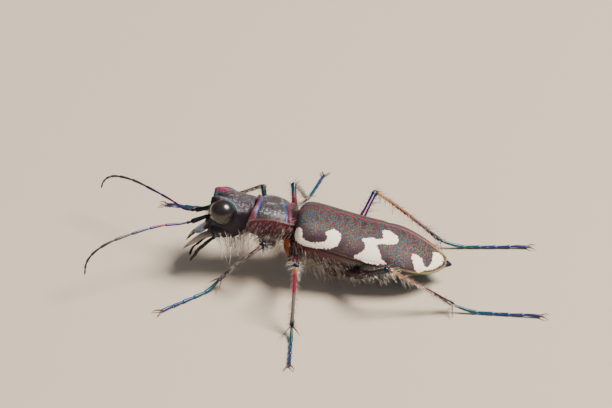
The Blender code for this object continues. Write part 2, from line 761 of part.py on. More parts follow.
def floor_block():
    """Cutter under the floor plane, wider than the whole animal."""
    bm = bmesh.new()
    bmesh.ops.create_cube(bm, size=1.0)
    bmesh.ops.scale(bm, vec=(40 * MM, 40 * MM, 2 * MM), verts=bm.verts[:])
    bmesh.ops.translate(bm, vec=(0, 0, -MM), verts=bm.verts[:])
    mesh = bpy.data.meshes.new("floor_block")
    bm.to_mesh(mesh)
    bm.free()
    return mesh


def make_coxa(leg):
    pair, side_name = leg.split("_")
    side = 1 if side_name == "left" else -1
    centre, radii = COXAE[pair]
    name = "coxa_" + leg
    coxa = ellipsoid_mesh(name, mirrored(centre, side), radii, 12, 8)
    add_object(name, coxa, "coxa", PARTS, body_matrix())


def femur_clearance(legs):
    """Cutters round the roots of femora, in the body frame."""
    pieces = []
    for leg in legs:
        pair = leg.split("_")[0]
        centre = Vector(mirrored(COXAE[pair][0], 1 if leg.endswith("left") else -1))
        path = [body_matrix().inverted() @ (place * MM) / MM for place in femur_path(leg)]
        radius = FEMUR_RADII[pair] + GAP / MM
        pieces.append(tube_mesh("clearance", [centre] + path, [radius] * (len(path) + 1)))
    return pieces


clear_scene()
PARTS = new_collection("tiger_beetle")
CUTTERS = new_collection("cutters")
make_head()
make_labrum()
for side_name, side in (("left", 1), ("right", -1)):
    make_eye("eye_" + side_name, side)
    make_mandible("mandible_" + side_name, side)
    make_palp("maxillary_palp_" + side_name, MAXILLARY_PALP, side)
    make_palp("labial_palp_" + side_name, LABIAL_PALP, side)
    make_elytron("elytron_" + side_name, side)
make_antenna("left", 1, ANTENNA_LEFT)
make_antenna("right", -1, ANTENNA_RIGHT)
make_pronotum()
thorax = make_under_body("thorax", "thorax", THORAX_FRONT, THORAX_REAR + GAP / MM / 2, 14)
abdomen = make_under_body("abdomen", "abdomen", THORAX_REAR - GAP / MM / 2, ABDOMEN_REAR, 16)
combine(thorax, lock_rows(THORAX_LOCKS, under_section), "UNION")
combine(abdomen, lock_rows(ABDOMEN_LOCKS, under_section), "UNION")
thorax_legs = ("mid_left", "mid_right", "hind_left", "hind_right")
sockets = coxa_sockets("mid") + coxa_sockets("hind")
combine(thorax, sockets + femur_clearance(thorax_legs), "DIFFERENCE")
combine(abdomen, femur_clearance(("hind_left", "hind_right")), "DIFFERENCE")
for leg in LEGS:
    make_coxa(leg)
    femur = make_femur(leg)
    make_tibia(leg, femur)
    make_tarsus(leg)
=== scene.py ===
"""A still, life-size tiger beetle: its looks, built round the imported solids."""
import bpy
import numpy as np
from math import cos, pi, radians, sin
from mathutils import Matrix, Vector


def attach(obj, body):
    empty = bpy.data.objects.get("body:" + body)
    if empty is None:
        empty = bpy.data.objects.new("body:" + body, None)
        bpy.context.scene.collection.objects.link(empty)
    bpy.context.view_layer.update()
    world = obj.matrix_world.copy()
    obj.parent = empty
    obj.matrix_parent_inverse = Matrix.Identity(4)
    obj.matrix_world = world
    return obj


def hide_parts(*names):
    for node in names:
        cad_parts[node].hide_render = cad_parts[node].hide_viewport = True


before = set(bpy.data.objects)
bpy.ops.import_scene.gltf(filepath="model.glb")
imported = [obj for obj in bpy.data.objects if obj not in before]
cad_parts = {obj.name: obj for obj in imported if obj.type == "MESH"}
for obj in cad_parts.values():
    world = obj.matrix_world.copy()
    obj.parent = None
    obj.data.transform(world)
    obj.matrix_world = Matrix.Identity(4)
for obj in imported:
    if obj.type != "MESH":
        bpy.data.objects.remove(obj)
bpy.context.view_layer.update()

# The stand: a plain pale floor the colour of dry sand, under soft daylight.
# The camera looks down on the beetle's left side through a long lens, as a macro photographer
# would, so that far legs stay as long as near ones.
MM = 0.001
FLOOR_REACH = 900
VIEW_CENTRE = (0.64, 0.0, 4.3)
VIEW_SIDE = radians(5.3)
VIEW_HEIGHT = radians(31.5)
VIEW_DISTANCE = 200.0
LENS_LENGTH = 210.8
SENSOR_WIDTH = 36
SKY_STRENGTH = 0.22


def linear(code):
    """An sRGB hex colour as the linear values that shaders take."""
    parts = [int(code[k:k + 2], 16) / 255 for k in (1, 3, 5)]
    return tuple(c / 12.92 if c <= 0.04045 else ((c + 0.055) / 1.055) ** 2.4 for c in parts) + (1.0,)


def fill(node, sockets):
    """Links each input to the output given for it, or sets it to the value or the hex colour."""
    for key, value in sockets.items():
        if isinstance(value, bpy.types.NodeSocket):
            node.id_data.links.new(value, node.inputs[key])
        else:
            is_colour = isinstance(value, str) and value.startswith("#")
            node.inputs[key].default_value = linear(value) if is_colour else value


def add(tree, kind, sockets=None, stops=(), out=None, **settings):
    """Adds a node with its settings, colour stops and inputs, and gives its named or first output."""
    node = tree.nodes.new(kind)
    for key, value in settings.items():
        setattr(node, key, value)
    for place, (position, colour) in enumerate(stops):
        elements = node.color_ramp.elements
        stop = elements[place] if place < 2 else elements.new(position)
        stop.position = position
        stop.color = linear(colour)
    fill(node, sockets or {})
    return node.outputs[out] if out else next((end for end in node.outputs if end.enabled), None)


def surface(name, sockets, *layers):
    """A material, its node tree and its shader, then the values that its pieces keep at each point."""
    material = bpy.data.materials.new(name)
    material.use_nodes = True
    tree = material.node_tree
    shader = tree.nodes["Principled BSDF"]
    fill(shader, sockets)
    values = [add(tree, "ShaderNodeAttribute", out="Fac", attribute_name=layer) for layer in layers]
    return material, tree, shader, *values


def placed(name, data):
    """An object in the scene that holds the given mesh, lens or lamp."""
    thing = bpy.data.objects.new(name, data)
    bpy.context.scene.collection.objects.link(thing)
    return thing


floor_mesh = bpy.data.meshes.new("floor")
corners = [(x * FLOOR_REACH * MM, y * FLOOR_REACH * MM, 0) for x, y in ((-1, -1), (1, -1), (1, 1), (-1, 1))]
floor_mesh.from_pydata(corners, [], [(0, 1, 2, 3)])
floor = placed("floor", floor_mesh)
card = surface("matt sand-coloured card", {
    "Base Color": "#bcac9b", "Roughness": 0.9, "Specular IOR Level": 0.2})[0]
floor_mesh.materials.append(card)

toward = Vector((-sin(VIEW_SIDE) * cos(VIEW_HEIGHT), cos(VIEW_SIDE) * cos(VIEW_HEIGHT), sin(VIEW_HEIGHT)))
lens = bpy.data.cameras.new("macro lens")
lens.lens = LENS_LENGTH
lens.sensor_width = SENSOR_WIDTH
lens.clip_start = 0.01
camera = placed("camera", lens)
camera.location = (Vector(VIEW_CENTRE) + toward * VIEW_DISTANCE) * MM
camera.rotation_euler = toward.to_track_quat("Z", "Y").to_euler()
bpy.context.scene.camera = camera

for name, place, size, power, tint in (("sky window", (-190, 10, 300), 160, 3.65, "#fff8ee"),
                                       ("side window", (190, 250, 150), 220, 0.35, "#eef4ff")):
    lamp = bpy.data.lights.new(name, "AREA")
    lamp.shape = "DISK"
    lamp.size = size * MM
    lamp.energy = power
    lamp.color = linear(tint)[:3]
    light = placed(name, lamp)
    light.location = Vector(place) * MM
    light.rotation_euler = Vector(place).to_track_quat("Z", "Y").to_euler()
    light.visible_glossy = name == "sky window"
world = bpy.data.worlds.new("overcast sky")
world.use_nodes = True
fill(world.node_tree.nodes["Background"], {"Color": "#e8edf2", "Strength": SKY_STRENGTH})
bpy.context.scene.world = world

# Wing cases (elytra): two arched shells of hard cuticle, about 0.12 mm thick, that meet in a
# straight seam down the back. They are hinged at the shoulders and closed here. Coppery brown
# with fine coloured pits, a bead along each edge, and three cream marks of bare pale cuticle.
BODY_ORIGIN = (0.9, 0.0, 4.2)
BODY_PITCH = radians(9.5)
BODY_ROLL = radians(13.0)
# Rows: distance along the back, half width, height at the seam, height of the side edge.
ELYTRON_ROWS = ((0.03, 1.30, -0.24, -1.38), (-0.06, 1.78, -0.14, -1.45), (-0.22, 2.16, 0.00, -1.46),
                (-0.60, 2.31, 0.10, -1.47), (-1.20, 2.36, 0.12, -1.48), (-2.40, 2.40, 0.03, -1.58),
                (-3.60, 2.43, -0.05, -1.70), (-4.80, 2.44, -0.08, -1.73), (-5.80, 2.36, -0.15, -1.74),
                (-6.60, 2.20, -0.35, -1.80), (-7.30, 1.89, -0.61, -1.84), (-7.90, 1.39, -0.90, -1.82),
                (-8.25, 0.95, -1.09, -1.74), (-8.45, 0.61, -1.20, -1.66), (-8.54, 0.34, -1.27, -1.62),
                (-8.58, 0.06, -1.34, -1.58))
# How sharply the back is arched across, at the front and at the rear.
ELYTRON_ARCH = (0.70, 1.45)
ARCH_END = -8.45
SHELL_THICKNESS = 0.12
SEAM_HALF_GAP = 0.012
# Cream marks as brush strokes: distance along the back, distance out from the seam, half width.
HUMERAL_MARK = (((-0.01, 1.85, 0.04), (-0.19, 2.33, 0.18), (-0.35, 2.82, 0.15), (-0.64, 3.02, 0.15),
                 (-1.19, 3.06, 0.14), (-1.83, 2.86, 0.21), (-2.18, 2.55, 0.31), (-2.17, 2.22, 0.40)),
                ((-2.11, 1.97, 0.17), (-1.78, 2.18, 0.11)))
MIDDLE_MARK = (((-5.03, 0.94, 0.27), (-5.26, 1.28, 0.43), (-5.47, 1.40, 0.22), (-5.13, 1.57, 0.23),
                (-4.73, 1.75, 0.13), (-4.27, 1.92, 0.31), (-3.79, 1.92, 0.10)),
               ((-4.10, 2.05, 0.22), (-4.36, 2.39, 0.37), (-4.53, 2.73, 0.41)),
               ((-3.51, 3.01, 0.05), (-4.21, 2.78, 0.38), (-4.74, 2.87, 0.26), (-5.23, 2.95, 0.04)))
APICAL_MARK = (((-6.85, 1.87, 0.26), (-7.00, 1.93, 0.35), (-7.02, 2.31, 0.19), (-7.60, 1.87, 0.06),
                (-7.78, 1.58, 0.09), (-7.92, 1.22, 0.17), (-8.05, 0.66, 0.32), (-8.16, 0.50, 0.25)),)
BODY = (Matrix.Translation(Vector(BODY_ORIGIN) * MM) @ Matrix.Rotation(BODY_ROLL, 4, "X")
        @ Matrix.Rotation(-BODY_PITCH, 4, "Y"))


def smooth(rows, x):
    """Values at each x on a smooth curve through rows that are keyed by their first value."""
    rows = np.array(sorted(rows), float)
    keys = rows[:, 0]
    values = rows[:, 1:]
    up = np.minimum(np.arange(len(keys)) + 1, len(keys) - 1)
    down = np.maximum(np.arange(len(keys)) - 1, 0)
    slope = (values[up] - values[down]) / (keys[up] - keys[down])[:, None]
    x = np.atleast_1d(np.asarray(x, float))
    low = np.clip(np.searchsorted(keys, x) - 1, 0, len(keys) - 2)
    span = (keys[low + 1] - keys[low])[:, None]
    t = np.clip((x[:, None] - keys[low][:, None]) / span, 0, 1)
    curve = (2 * t**3 - 3 * t**2 + 1) * values[low] + (t**3 - 2 * t**2 + t) * span * slope[low]
    return curve + (3 * t**2 - 2 * t**3) * values[low + 1] + (t**3 - t**2) * span * slope[low + 1]


def bell(values, middle, width):
    """A smooth hump, 1 high at a middle value and falling off by the given width."""
    return np.exp(-((values - middle) / width) ** 2)


def outward(rings):
    """Unit normals of a grid of rings, from its own slopes, that point away from its middle."""
    along = np.gradient(rings, axis=0)
    around = np.roll(rings, -1, axis=1) - np.roll(rings, 1, axis=1)
    normal = np.cross(along, around)
    normal /= np.maximum(np.linalg.norm(normal, axis=2, keepdims=True), 1e-9)
    inside = rings.mean(axis=1, keepdims=True)
    return normal * np.sign(np.sum(normal * (rings - inside), axis=(1, 2), keepdims=True))


def shell(name, rings, matrix, material, layers=None):
    """Closed mesh object through grids of rings in millimetres, with values kept at each point."""
    layers = layers or {}
    if not isinstance(rings, list):
        rings = [rings]
        layers = {key: [layer] for key, layer in layers.items()}
    points = []
    faces = []
    maps = []
    kept = {key: [] for key in layers}
    if "hair" in kept:
        kept["root_map"] = []
    for number, grid in enumerate(rings):
        base = sum(len(p) for p in points)
        count, around = grid.shape[:2]
        points += [grid.reshape(-1, 3), np.stack([grid[0].mean(0), grid[-1].mean(0)])]
        if "hair" in kept:
            row, column = np.meshgrid(np.arange(count) / (count - 1), np.arange(around) / around,
                                      indexing="ij")
            flat = np.stack([row.ravel(), column.ravel(), 0 * row.ravel()], 1)
            kept["root_map"].append(np.concatenate([flat, [(0, 0, 0), (1, 0, 0)]]))
        for key in layers:
            layer = np.asarray(layers[key][number], float)
            layer = np.broadcast_to(layer, grid.shape[:2] + layer.shape[2:])
            flat = layer.reshape((-1,) + layer.shape[2:])
            kept[key].append(np.concatenate([flat, layer[:1].mean(1), layer[-1:].mean(1)]))
        i, j = (a.ravel() for a in np.meshgrid(np.arange(count - 1), np.arange(around), indexing="ij"))
        corners = ((0, 0), (0, 1), (1, 1), (1, 0))
        quads = np.stack([(i + a) * around + (j + b) % around for a, b in corners], 1)
        faces += (quads + base).tolist()
        step = 1 / (count - 1)
        maps += np.stack([np.stack([(i + a) * step, (j + b) / around], 1) for a, b in corners], 1).tolist()
        for row, hub, flip in ((0, count * around, 1), (count - 1, count * around + 1, 0)):
            for k in range(around):
                a = base + row * around + k
                b = base + row * around + (k + 1) % around
                faces.append([a, base + hub, b] if flip else [a, b, base + hub])
                maps.append([(row * step, k / around)] * 3)
    points = np.concatenate(points) * MM
    fans = np.array([(face[0], face[k], face[k + 1]) for face in faces for k in range(1, len(face) - 1)])
    a, b, c = points[fans].transpose(1, 0, 2)
    if np.sum(a * np.cross(b, c)) < 0:
        faces = [face[::-1] for face in faces]
        maps = [face[::-1] for face in maps]
    mesh = bpy.data.meshes.new(name)
    mesh.from_pydata(points.tolist(), [], faces)
    uv = np.array([corner for face in maps for corner in face], np.float32)
    mesh.uv_layers.new(name="UVMap").data.foreach_set("uv", uv.ravel())
    for key, values in kept.items():
        values = np.concatenate(values)
        kind = "FLOAT" if values.ndim == 1 else "FLOAT_VECTOR"
        layer = mesh.attributes.new(key, kind, "POINT")
        layer.data.foreach_set("value" if kind == "FLOAT" else "vector", values.astype(np.float32).ravel())
    mesh.shade_smooth()
    mesh.transform(matrix)
    mesh.materials.append(material)
    return placed(name, mesh)


def mounted(thing, slot, *nodes):
    """Fixes a finished piece to the animal, in place of the solids that it stands for."""
    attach(thing, "root")
    if nodes:
        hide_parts(*nodes)
    return thing


def stroke_distance(x, w, strokes):
    """Distance in millimetres from brush strokes that narrow and widen, below 0 inside them."""
    best = np.full(x.shape, 9.0)
    for stroke in strokes:
        for (xa, wa, ra), (xb, wb, rb) in zip(stroke, stroke[1:]):
            dx, dw = xb - xa, wb - wa
            t = np.clip(((x - xa) * dx + (w - wa) * dw) / (dx * dx + dw * dw), 0, 1)
            best = np.minimum(best, np.hypot(x - xa - t * dx, w - wa - t * dw) - (ra + t * (rb - ra)))
    return best


def laid_over(tree, below, colour, value, start, end, first=1.0, last=0.0):
    """Colour laid over the one below, by a share that goes from first to last between two values."""
    share = add(tree, "ShaderNodeMapRange", {0: value, 1: start, 2: end, 3: first, 4: last})
    return add(tree, "ShaderNodeMix", {0: share, 6: below, 7: colour}, data_type="RGBA")


# Satin cuticle: its copper glow comes from thin layers, so it is part metallic, and each pit
# mirrors another colour. Pits are about 0.12 mm apart, with red grains as fine between them.
elytron_cuticle, tree, shader, mark, plain, seam, edge, back = surface("pitted elytral cuticle", {
    "Roughness": 0.60, "Specular IOR Level": 0.22}, "mark", "plain", "seam", "edge", "back")
place = add(tree, "ShaderNodeTexCoord", out="Object")
pits = add(tree, "ShaderNodeTexVoronoi", {"Vector": place, "Scale": 8200.0, "Randomness": 0.6})
specks = add(tree, "ShaderNodeTexVoronoi", {"Vector": place, "Scale": 9000.0, "Randomness": 0.8})
grain, cloud, jag = [
    add(tree, "ShaderNodeTexNoise", {"Vector": place, "Scale": scale, "Detail": detail})
    for scale, detail in ((9000.0, 3.0), (900.0, 2.0), (8500.0, 2.0))]
jagged = add(tree, "ShaderNodeMath", {0: jag, 1: 0.26, 2: mark}, operation="MULTIPLY_ADD")
painted = add(tree, "ShaderNodeValToRGB", {"Fac": cloud},
              [(0.35, "#38262f"), (0.50, "#443336"), (0.65, "#3e2d37")])
speck_hue, pit_hue = [
    add(tree, "ShaderNodeSeparateColor", {"Color": dots.node.outputs["Color"]}) for dots in (specks, pits)]
speck_colour = add(tree, "ShaderNodeValToRGB", {"Fac": speck_hue.node.outputs["Green"]},
                   [(0.0, "#843024"), (0.45, "#742738"), (0.80, "#5f4827")])
pit_colour = add(tree, "ShaderNodeValToRGB", {"Fac": pit_hue},
                 [(0.0, "#0d5c63"), (0.34, "#146657"), (0.54, "#27643d"), (0.62, "#214773"),
                  (0.72, "#0f636d"), (0.93, "#646e2e")])
pit_colour.node.color_ramp.interpolation = "CONSTANT"
near_mark = add(tree, "ShaderNodeMapRange", {0: plain, 1: 0.30, 2: 0.60, 3: 0.12, 4: 1.0})
for dots, colour, dot_edge in ((specks, speck_colour, 0.50), (pits, pit_colour, 0.46)):
    dot = add(tree, "ShaderNodeMapRange", {0: dots, 1: 0.32, 2: dot_edge, 3: 0.95, 4: 0.0})
    amount = add(tree, "ShaderNodeMath", {0: dot, 1: near_mark}, operation="MULTIPLY")
    painted = add(tree, "ShaderNodeMix", {0: amount, 6: painted, 7: colour}, data_type="RGBA")
# Along the seam: dark purple, then rose, and gold at the rear end, where the gold is a painted highlight.
seam_colour = add(tree, "ShaderNodeValToRGB", {"Fac": back},
                  [(0.0, "#3a1c34"), (0.12, "#6c2038"), (0.45, "#8c2844"), (0.80, "#a84a54"),
                   (0.97, "#b89438")])
rim_colour = add(tree, "ShaderNodeValToRGB", {"Fac": back},
                 [(0.0, "#140f16"), (0.10, "#381218"), (0.60, "#4a1c18"), (0.76, "#7a5c2c"),
                  (0.90, "#8a8a3c"), (0.97, "#c8962e")])
cream = add(tree, "ShaderNodeValToRGB", {"Fac": grain}, [(0.3, "#e6d7be"), (0.7, "#f6ebda")])
painted = laid_over(tree, painted, seam_colour, seam, 0.050, 0.085, 0.85)
painted = laid_over(tree, painted, rim_colour, edge, 0.035, 0.070, 0.9)
painted = laid_over(tree, painted, cream, jagged, 0.118, 0.142)
metal = add(tree, "ShaderNodeMapRange", {0: jagged, 1: 0.118, 2: 0.142, 3: 0.0, 4: 0.28})
relief = add(tree, "ShaderNodeMath", {0: amount, 1: -0.8, 2: grain}, operation="MULTIPLY_ADD")
bump = add(tree, "ShaderNodeBump", {"Strength": 0.6, "Distance": 0.02 * MM, "Height": relief})
fill(shader, {"Base Color": painted, "Metallic": metal, "Normal": bump})


def arch_power(x):
    """How sharply the back is arched across, at each distance along it."""
    return ELYTRON_ARCH[0] + (ELYTRON_ARCH[1] - ELYTRON_ARCH[0]) * np.clip(x / ARCH_END, 0, 1)[:, None]


front = ELYTRON_ROWS[0][0]
rear = ELYTRON_ROWS[-1][0]
for side_name, side in (("left", 1), ("right", -1)):
    steps = 150
    t = np.linspace(0, 1, steps)
    x = front + (rear - front) * (0.5 - 0.5 * np.cos(pi * t)) * 0.6
    x += (rear - front) * t * 0.4
    half_width, top, low_edge = smooth(ELYTRON_ROWS, x).T
    rings = []
    for thickness, turns in ((0.0, np.linspace(0, 1, 60)), (SHELL_THICKNESS, np.linspace(1, 0, 14))):
        angle = turns[None, :] * pi / 2
        wall = np.minimum(thickness, half_width * 0.4)[:, None]
        width = half_width[:, None] - wall - SEAM_HALF_GAP
        rise = np.maximum(top[:, None] - wall - low_edge[:, None], 0.0)
        y = SEAM_HALF_GAP + width * np.sin(angle)
        z = low_edge[:, None] + rise * np.maximum(np.cos(angle), 0) ** arch_power(x)
        rings.append(np.stack([np.broadcast_to(x[:, None], y.shape), y, z], 2))
    outer = rings[0]
    steps_out = np.linalg.norm(np.diff(outer, axis=1), axis=2)
    from_seam = np.concatenate([np.zeros((steps, 1)), np.cumsum(steps_out, axis=1)], axis=1)
    from_edge = from_seam[:, -1:] - from_seam
    tail = (outer[..., 0] - rear) * 0.8
    lift = 0.016 * bell(from_seam, 0.04, 0.045) - 0.012 * bell(from_seam, 0.13, 0.04)
    lift += 0.030 * bell(from_edge, 0.0, 0.06) - 0.020 * bell(from_edge, 0.14, 0.05)
    lift += 0.045 * bell(np.hypot(outer[..., 0] + 0.62, from_seam - 1.80), 0.0, 0.42)
    lift *= np.clip(half_width[:, None], 0, 1)
    rings[0] = outer + outward(outer) * lift[..., None]
    grid = np.concatenate(rings, axis=1)
    spare = np.full((steps, rings[1].shape[1]), 2.0)
    strokes = HUMERAL_MARK + MIDDLE_MARK + APICAL_MARK
    from_mark = stroke_distance(outer[..., 0], from_seam, strokes)
    layers = {
        "mark": np.concatenate([from_mark, spare], 1),
        "plain": np.concatenate([from_mark + 2 * np.clip(2.15 - from_seam, 0, 1), spare], 1),
        "seam": np.concatenate([from_seam, spare], 1),
        "edge": np.concatenate([np.minimum(from_edge, tail), spare], 1),
        "back": grid[..., 0] / rear,
    }
    grid[..., 1] *= side
    elytron = shell("elytron_%s_shell" % side_name, grid, BODY, elytron_cuticle, layers)
    mounted(elytron, "elytron", "elytron_" + side_name)

# Under body: the thorax and the belly's rings, one skin that runs up inside the wing cases.
# Maroon with a copper gleam on the chest, deep metallic blue on the belly, with a groove between
# the plates, a long plate beside the hind hip, and a painted pale blue highlight on the last ring.
UNDER_ROWS = ((0.42, -2.12), (0.30, -2.22), (0.00, -2.42), (-0.80, -2.80), (-1.80, -3.02), (-3.00, -3.05),
              (-4.50, -2.82), (-6.00, -2.55), (-7.20, -2.30), (-8.00, -2.12), (-8.45, -2.00), (-8.70, -1.92))
RING_SEAMS = (-3.55, -4.60, -5.55, -6.40, -7.15, -7.80)
# Grooves between the chest's plates: distance along the back, height, half width.
CHEST_SEAMS = (((-1.05, -1.75, 0.02), (-1.30, -2.25, 0.02), (-1.20, -2.85, 0.02)),
               ((-1.22, -2.20, 0.02), (-2.20, -2.42, 0.02), (-3.45, -2.38, 0.02)),
               ((0.30, -1.45, 0.02), (-0.20, -2.00, 0.02), (-0.15, -2.60, 0.02)))


def lying(rings, matrix, way, lift):
    """Ways in which hairs lie: along the skin toward a given way, raised off it by a lift."""
    normal = outward(rings)
    way = np.broadcast_to(np.asarray(way, float), rings.shape)
    flat = way - np.sum(normal * way, axis=2, keepdims=True) * normal
    flat /= np.maximum(np.linalg.norm(flat, axis=2, keepdims=True), 0.3)
    return (flat + normal * lift) @ np.array(matrix.to_3x3()).T


def ball(rows, around):
    """Rings of a ball of radius 1, from its bottom to its top."""
    climb = np.linspace(-pi / 2, pi / 2, rows)[1:-1, None]
    turn = np.linspace(0, 2 * pi, around, endpoint=False)[None, :]
    return np.stack([np.cos(climb) * np.cos(turn), np.cos(climb) * np.sin(turn), np.sin(climb) + 0 * turn], 2)


under_cuticle, tree, shader, back, groove, ledge = surface("maroon thoracic cuticle", {
    "Metallic": 0.45, "Roughness": 0.36, "Coat Weight": 0.15, "Coat Roughness": 0.3},
    "back", "groove", "ledge")
place = add(tree, "ShaderNodeTexCoord", out="Object")
cloud = add(tree, "ShaderNodeTexNoise", {"Vector": place, "Scale": 1600.0, "Detail": 3.0})
shifted = add(tree, "ShaderNodeMath", {0: cloud, 1: 0.10, 2: back}, operation="MULTIPLY_ADD")
# Maroon to blue along the body; the pale blue stop near the end is a painted highlight on the last ring.
plates = add(tree, "ShaderNodeValToRGB", {"Fac": shifted},
             [(0.0, "#34101a"), (0.16, "#431420"), (0.36, "#3f1226"), (0.50, "#142634"),
              (0.91, "#10283c"), (0.955, "#4a9ccc"), (1.0, "#0c1c2c")])
edged = add(tree, "ShaderNodeMix", {0: ledge, 6: plates, 7: "#55554a"}, data_type="RGBA")
painted = laid_over(tree, edged, "#170b10", groove, 0.02, 0.09, 0.75)
dimples = add(tree, "ShaderNodeTexVoronoi", {"Vector": place, "Scale": 8500.0})
bump = add(tree, "ShaderNodeBump", {"Strength": 0.45, "Distance": 0.015 * MM, "Height": dimples})
fill(shader, {"Base Color": painted, "Normal": bump})

x = np.linspace(UNDER_ROWS[0][0], UNDER_ROWS[-1][0], 200)
half_width, top, low_edge = smooth(ELYTRON_ROWS, np.clip(x, -8.38, -0.02)).T
bottom = smooth(UNDER_ROWS, x)[:, 0]
ends = np.clip(1 - ((x + 8.20) / -0.78), 0, 1) ** 0.5 * np.clip(1.06 - 0.8 * np.maximum(x, 0), 0, 1)
half_width = (half_width * ends)[:, None]
low_edge = low_edge[:, None]
angle = np.linspace(0, pi / 2, 24)[None, :]
upper_y = np.maximum(half_width - 0.20, 0.05) * np.sin(angle)
upper_z = (low_edge + np.maximum(top[:, None] - 0.20 - low_edge, 0.02)
           * np.maximum(np.cos(angle), 0) ** arch_power(x))
lower_y = np.maximum(half_width - 0.13, 0.03) * np.maximum(np.cos(angle), 0) ** 0.92
lower_z = low_edge - (low_edge - bottom[:, None]) * np.sin(angle)
half_y = np.concatenate([upper_y, lower_y], axis=1)
half_z = np.concatenate([upper_z, lower_z], axis=1)
rings = np.stack([np.broadcast_to(x[:, None], half_y.shape), half_y, half_z], 2)
rings = np.concatenate([rings, rings[:, -2:0:-1] * (1, -1, 1)], axis=1)
rounded = np.sqrt(np.clip(1 - ((-8.20 - rings[..., :1]) / 0.50) ** 2 * (rings[..., :1] < -8.20), 0.002, 1))
rings = np.array((0, 0, -1.55)) * (1 - rounded) + rings * np.concatenate([rounded ** 0, rounded, rounded], 2)
below = np.clip((low_edge - 0.10 - rings[..., 2]) / 0.25, 0, 1)
ring_gap = np.min([np.abs(rings[..., 0] - seam + 0.10 * np.abs(rings[..., 1])) for seam in RING_SEAMS],
                  axis=0)
chest_gap = stroke_distance(rings[..., 0], rings[..., 2], CHEST_SEAMS)
groove = np.minimum(ring_gap, chest_gap) + (1 - below)
ledge = bell(rings[..., 2] - low_edge, -0.22, 0.13) * bell(rings[..., 0], -3.9, 1.5)
sink = 0.05 * bell(groove, 0.0, 0.07) * below - 0.03 * bell(ring_gap, 0.16, 0.10) * below
rings = rings - outward(rings) * sink[..., None]
chest = np.clip((rings[..., 0] + 3.70) / 0.6, 0, 1)
flank = below * np.clip((rings[..., 2] - bottom[:, None]) / 0.35, 0.10, 1)
layers = {
    "back": rings[..., 0] / UNDER_ROWS[-1][0],
    "groove": groove,
    "ledge": ledge,
    "hair": flank * (0.10 + 0.90 * chest) * np.clip((rings[..., 0] + 8.4) / 1.0, 0, 1),
    "length": (0.45 + 0.85 * chest) * (0.50 + 0.50 * np.clip((-1.9 - rings[..., 2]) / 0.5, 0, 1)),
    "lie": lying(rings, BODY, (-0.72, 0.0, -0.70), 0.50),
}
last = ball(30, 40)[..., [2, 0, 1]] * (-1, 1, 1)
last[..., 1:] *= 0.80 + 0.34 * last[..., :1]
last = last * (0.44, 0.46, 0.30) + (-8.47, 0.0, -1.63)
# The last ring's back value runs through the pale blue stop: a painted highlight across its middle.
flush = {"back": 0.955 + 0.045 * np.clip((-8.66 - last[..., 0]) * 5, -1, 1), "groove": 9.0 + 0 * last[..., 0],
         "ledge": 0 * last[..., 0], "hair": 0 * last[..., 0], "length": 0.2 + 0 * last[..., 0],
         "lie": lying(last, BODY, (-1.0, 0.0, 0.0), 0.3)}
under = shell("under_body_skin", [rings, last], BODY, under_cuticle,
              {key: [np.broadcast_to(value, rings.shape[:2] + np.shape(value)[2:]), flush[key]]
               for key, value in layers.items()})
mounted(under, "underside", "thorax", "abdomen")

# Prothorax: the shield behind the head, with a cross furrow at each end, a fine line down the
# middle and a sharp side margin, over maroon side plates. Its ends flare over the neck and the
# shoulders. Granulate copper brown, blue in the furrows, rose and gold at both rims.
PRONOTUM_ROWS = ((0.58, 1.28, -0.24, -1.90), (0.74, 1.46, -0.17, -2.00), (0.94, 1.46, -0.18, -2.05),
                 (1.18, 1.55, -0.12, -2.12), (1.62, 1.62, -0.05, -2.16), (2.02, 1.56, -0.04, -2.14),
                 (2.28, 1.41, -0.05, -2.10), (2.42, 1.37, -0.05, -2.05), (2.63, 1.40, -0.05, -2.00))
# Where each end lies along the body, at its top and at its sides.
PRONOTUM_REAR = (0.50, 0.14)
PRONOTUM_FRONT = (2.42, 2.72)
PRONOTUM_SQUARENESS = 0.66
FRONT_FURROW = 2.20
REAR_FURROW = 0.84
# Height of the side margin, as a share of the shield's, from the rear to the front.
MARGIN_HEIGHT = ((0.0, 0.69), (0.45, 0.73), (0.80, 0.62), (1.0, 0.46))

shield_cuticle, tree, shader, furrow, margin, rim = surface("granulate pronotal cuticle", {
    "Metallic": 0.25, "Roughness": 0.50, "Specular IOR Level": 0.45}, "furrow", "margin", "rim")
place = add(tree, "ShaderNodeTexCoord", out="Object")
grains = add(tree, "ShaderNodeTexVoronoi", {"Vector": place, "Scale": 11000.0})
cloud = add(tree, "ShaderNodeTexNoise", {"Vector": place, "Scale": 1800.0, "Detail": 3.0})
hue = add(tree, "ShaderNodeSeparateColor", {"Color": grains.node.outputs["Color"]})
mottle = add(tree, "ShaderNodeMath", {0: hue, 1: 0.35, 2: cloud}, operation="MULTIPLY_ADD")
disc = add(tree, "ShaderNodeValToRGB", {"Fac": mottle},
           [(0.30, "#201a20"), (0.51, "#3c3235"), (0.66, "#50383f"), (0.79, "#325658"), (0.89, "#9a949a")])
banded = add(tree, "ShaderNodeValToRGB", {"Fac": rim},
             [(0.0, "#1a1022"), (0.06, "#561438"), (0.16, "#661a34"), (0.24, "#84381c"), (0.36, "#3c2426")])
furrow_colour = add(tree, "ShaderNodeValToRGB", {"Fac": cloud},
                    [(0.35, "#0a5c80"), (0.52, "#0a3c90"), (0.68, "#0c6456")])
painted = laid_over(tree, disc, banded, rim, 0.20, 0.36, 0.9)
painted = laid_over(tree, painted, furrow_colour, furrow, 0.02, 0.09, 0.9)
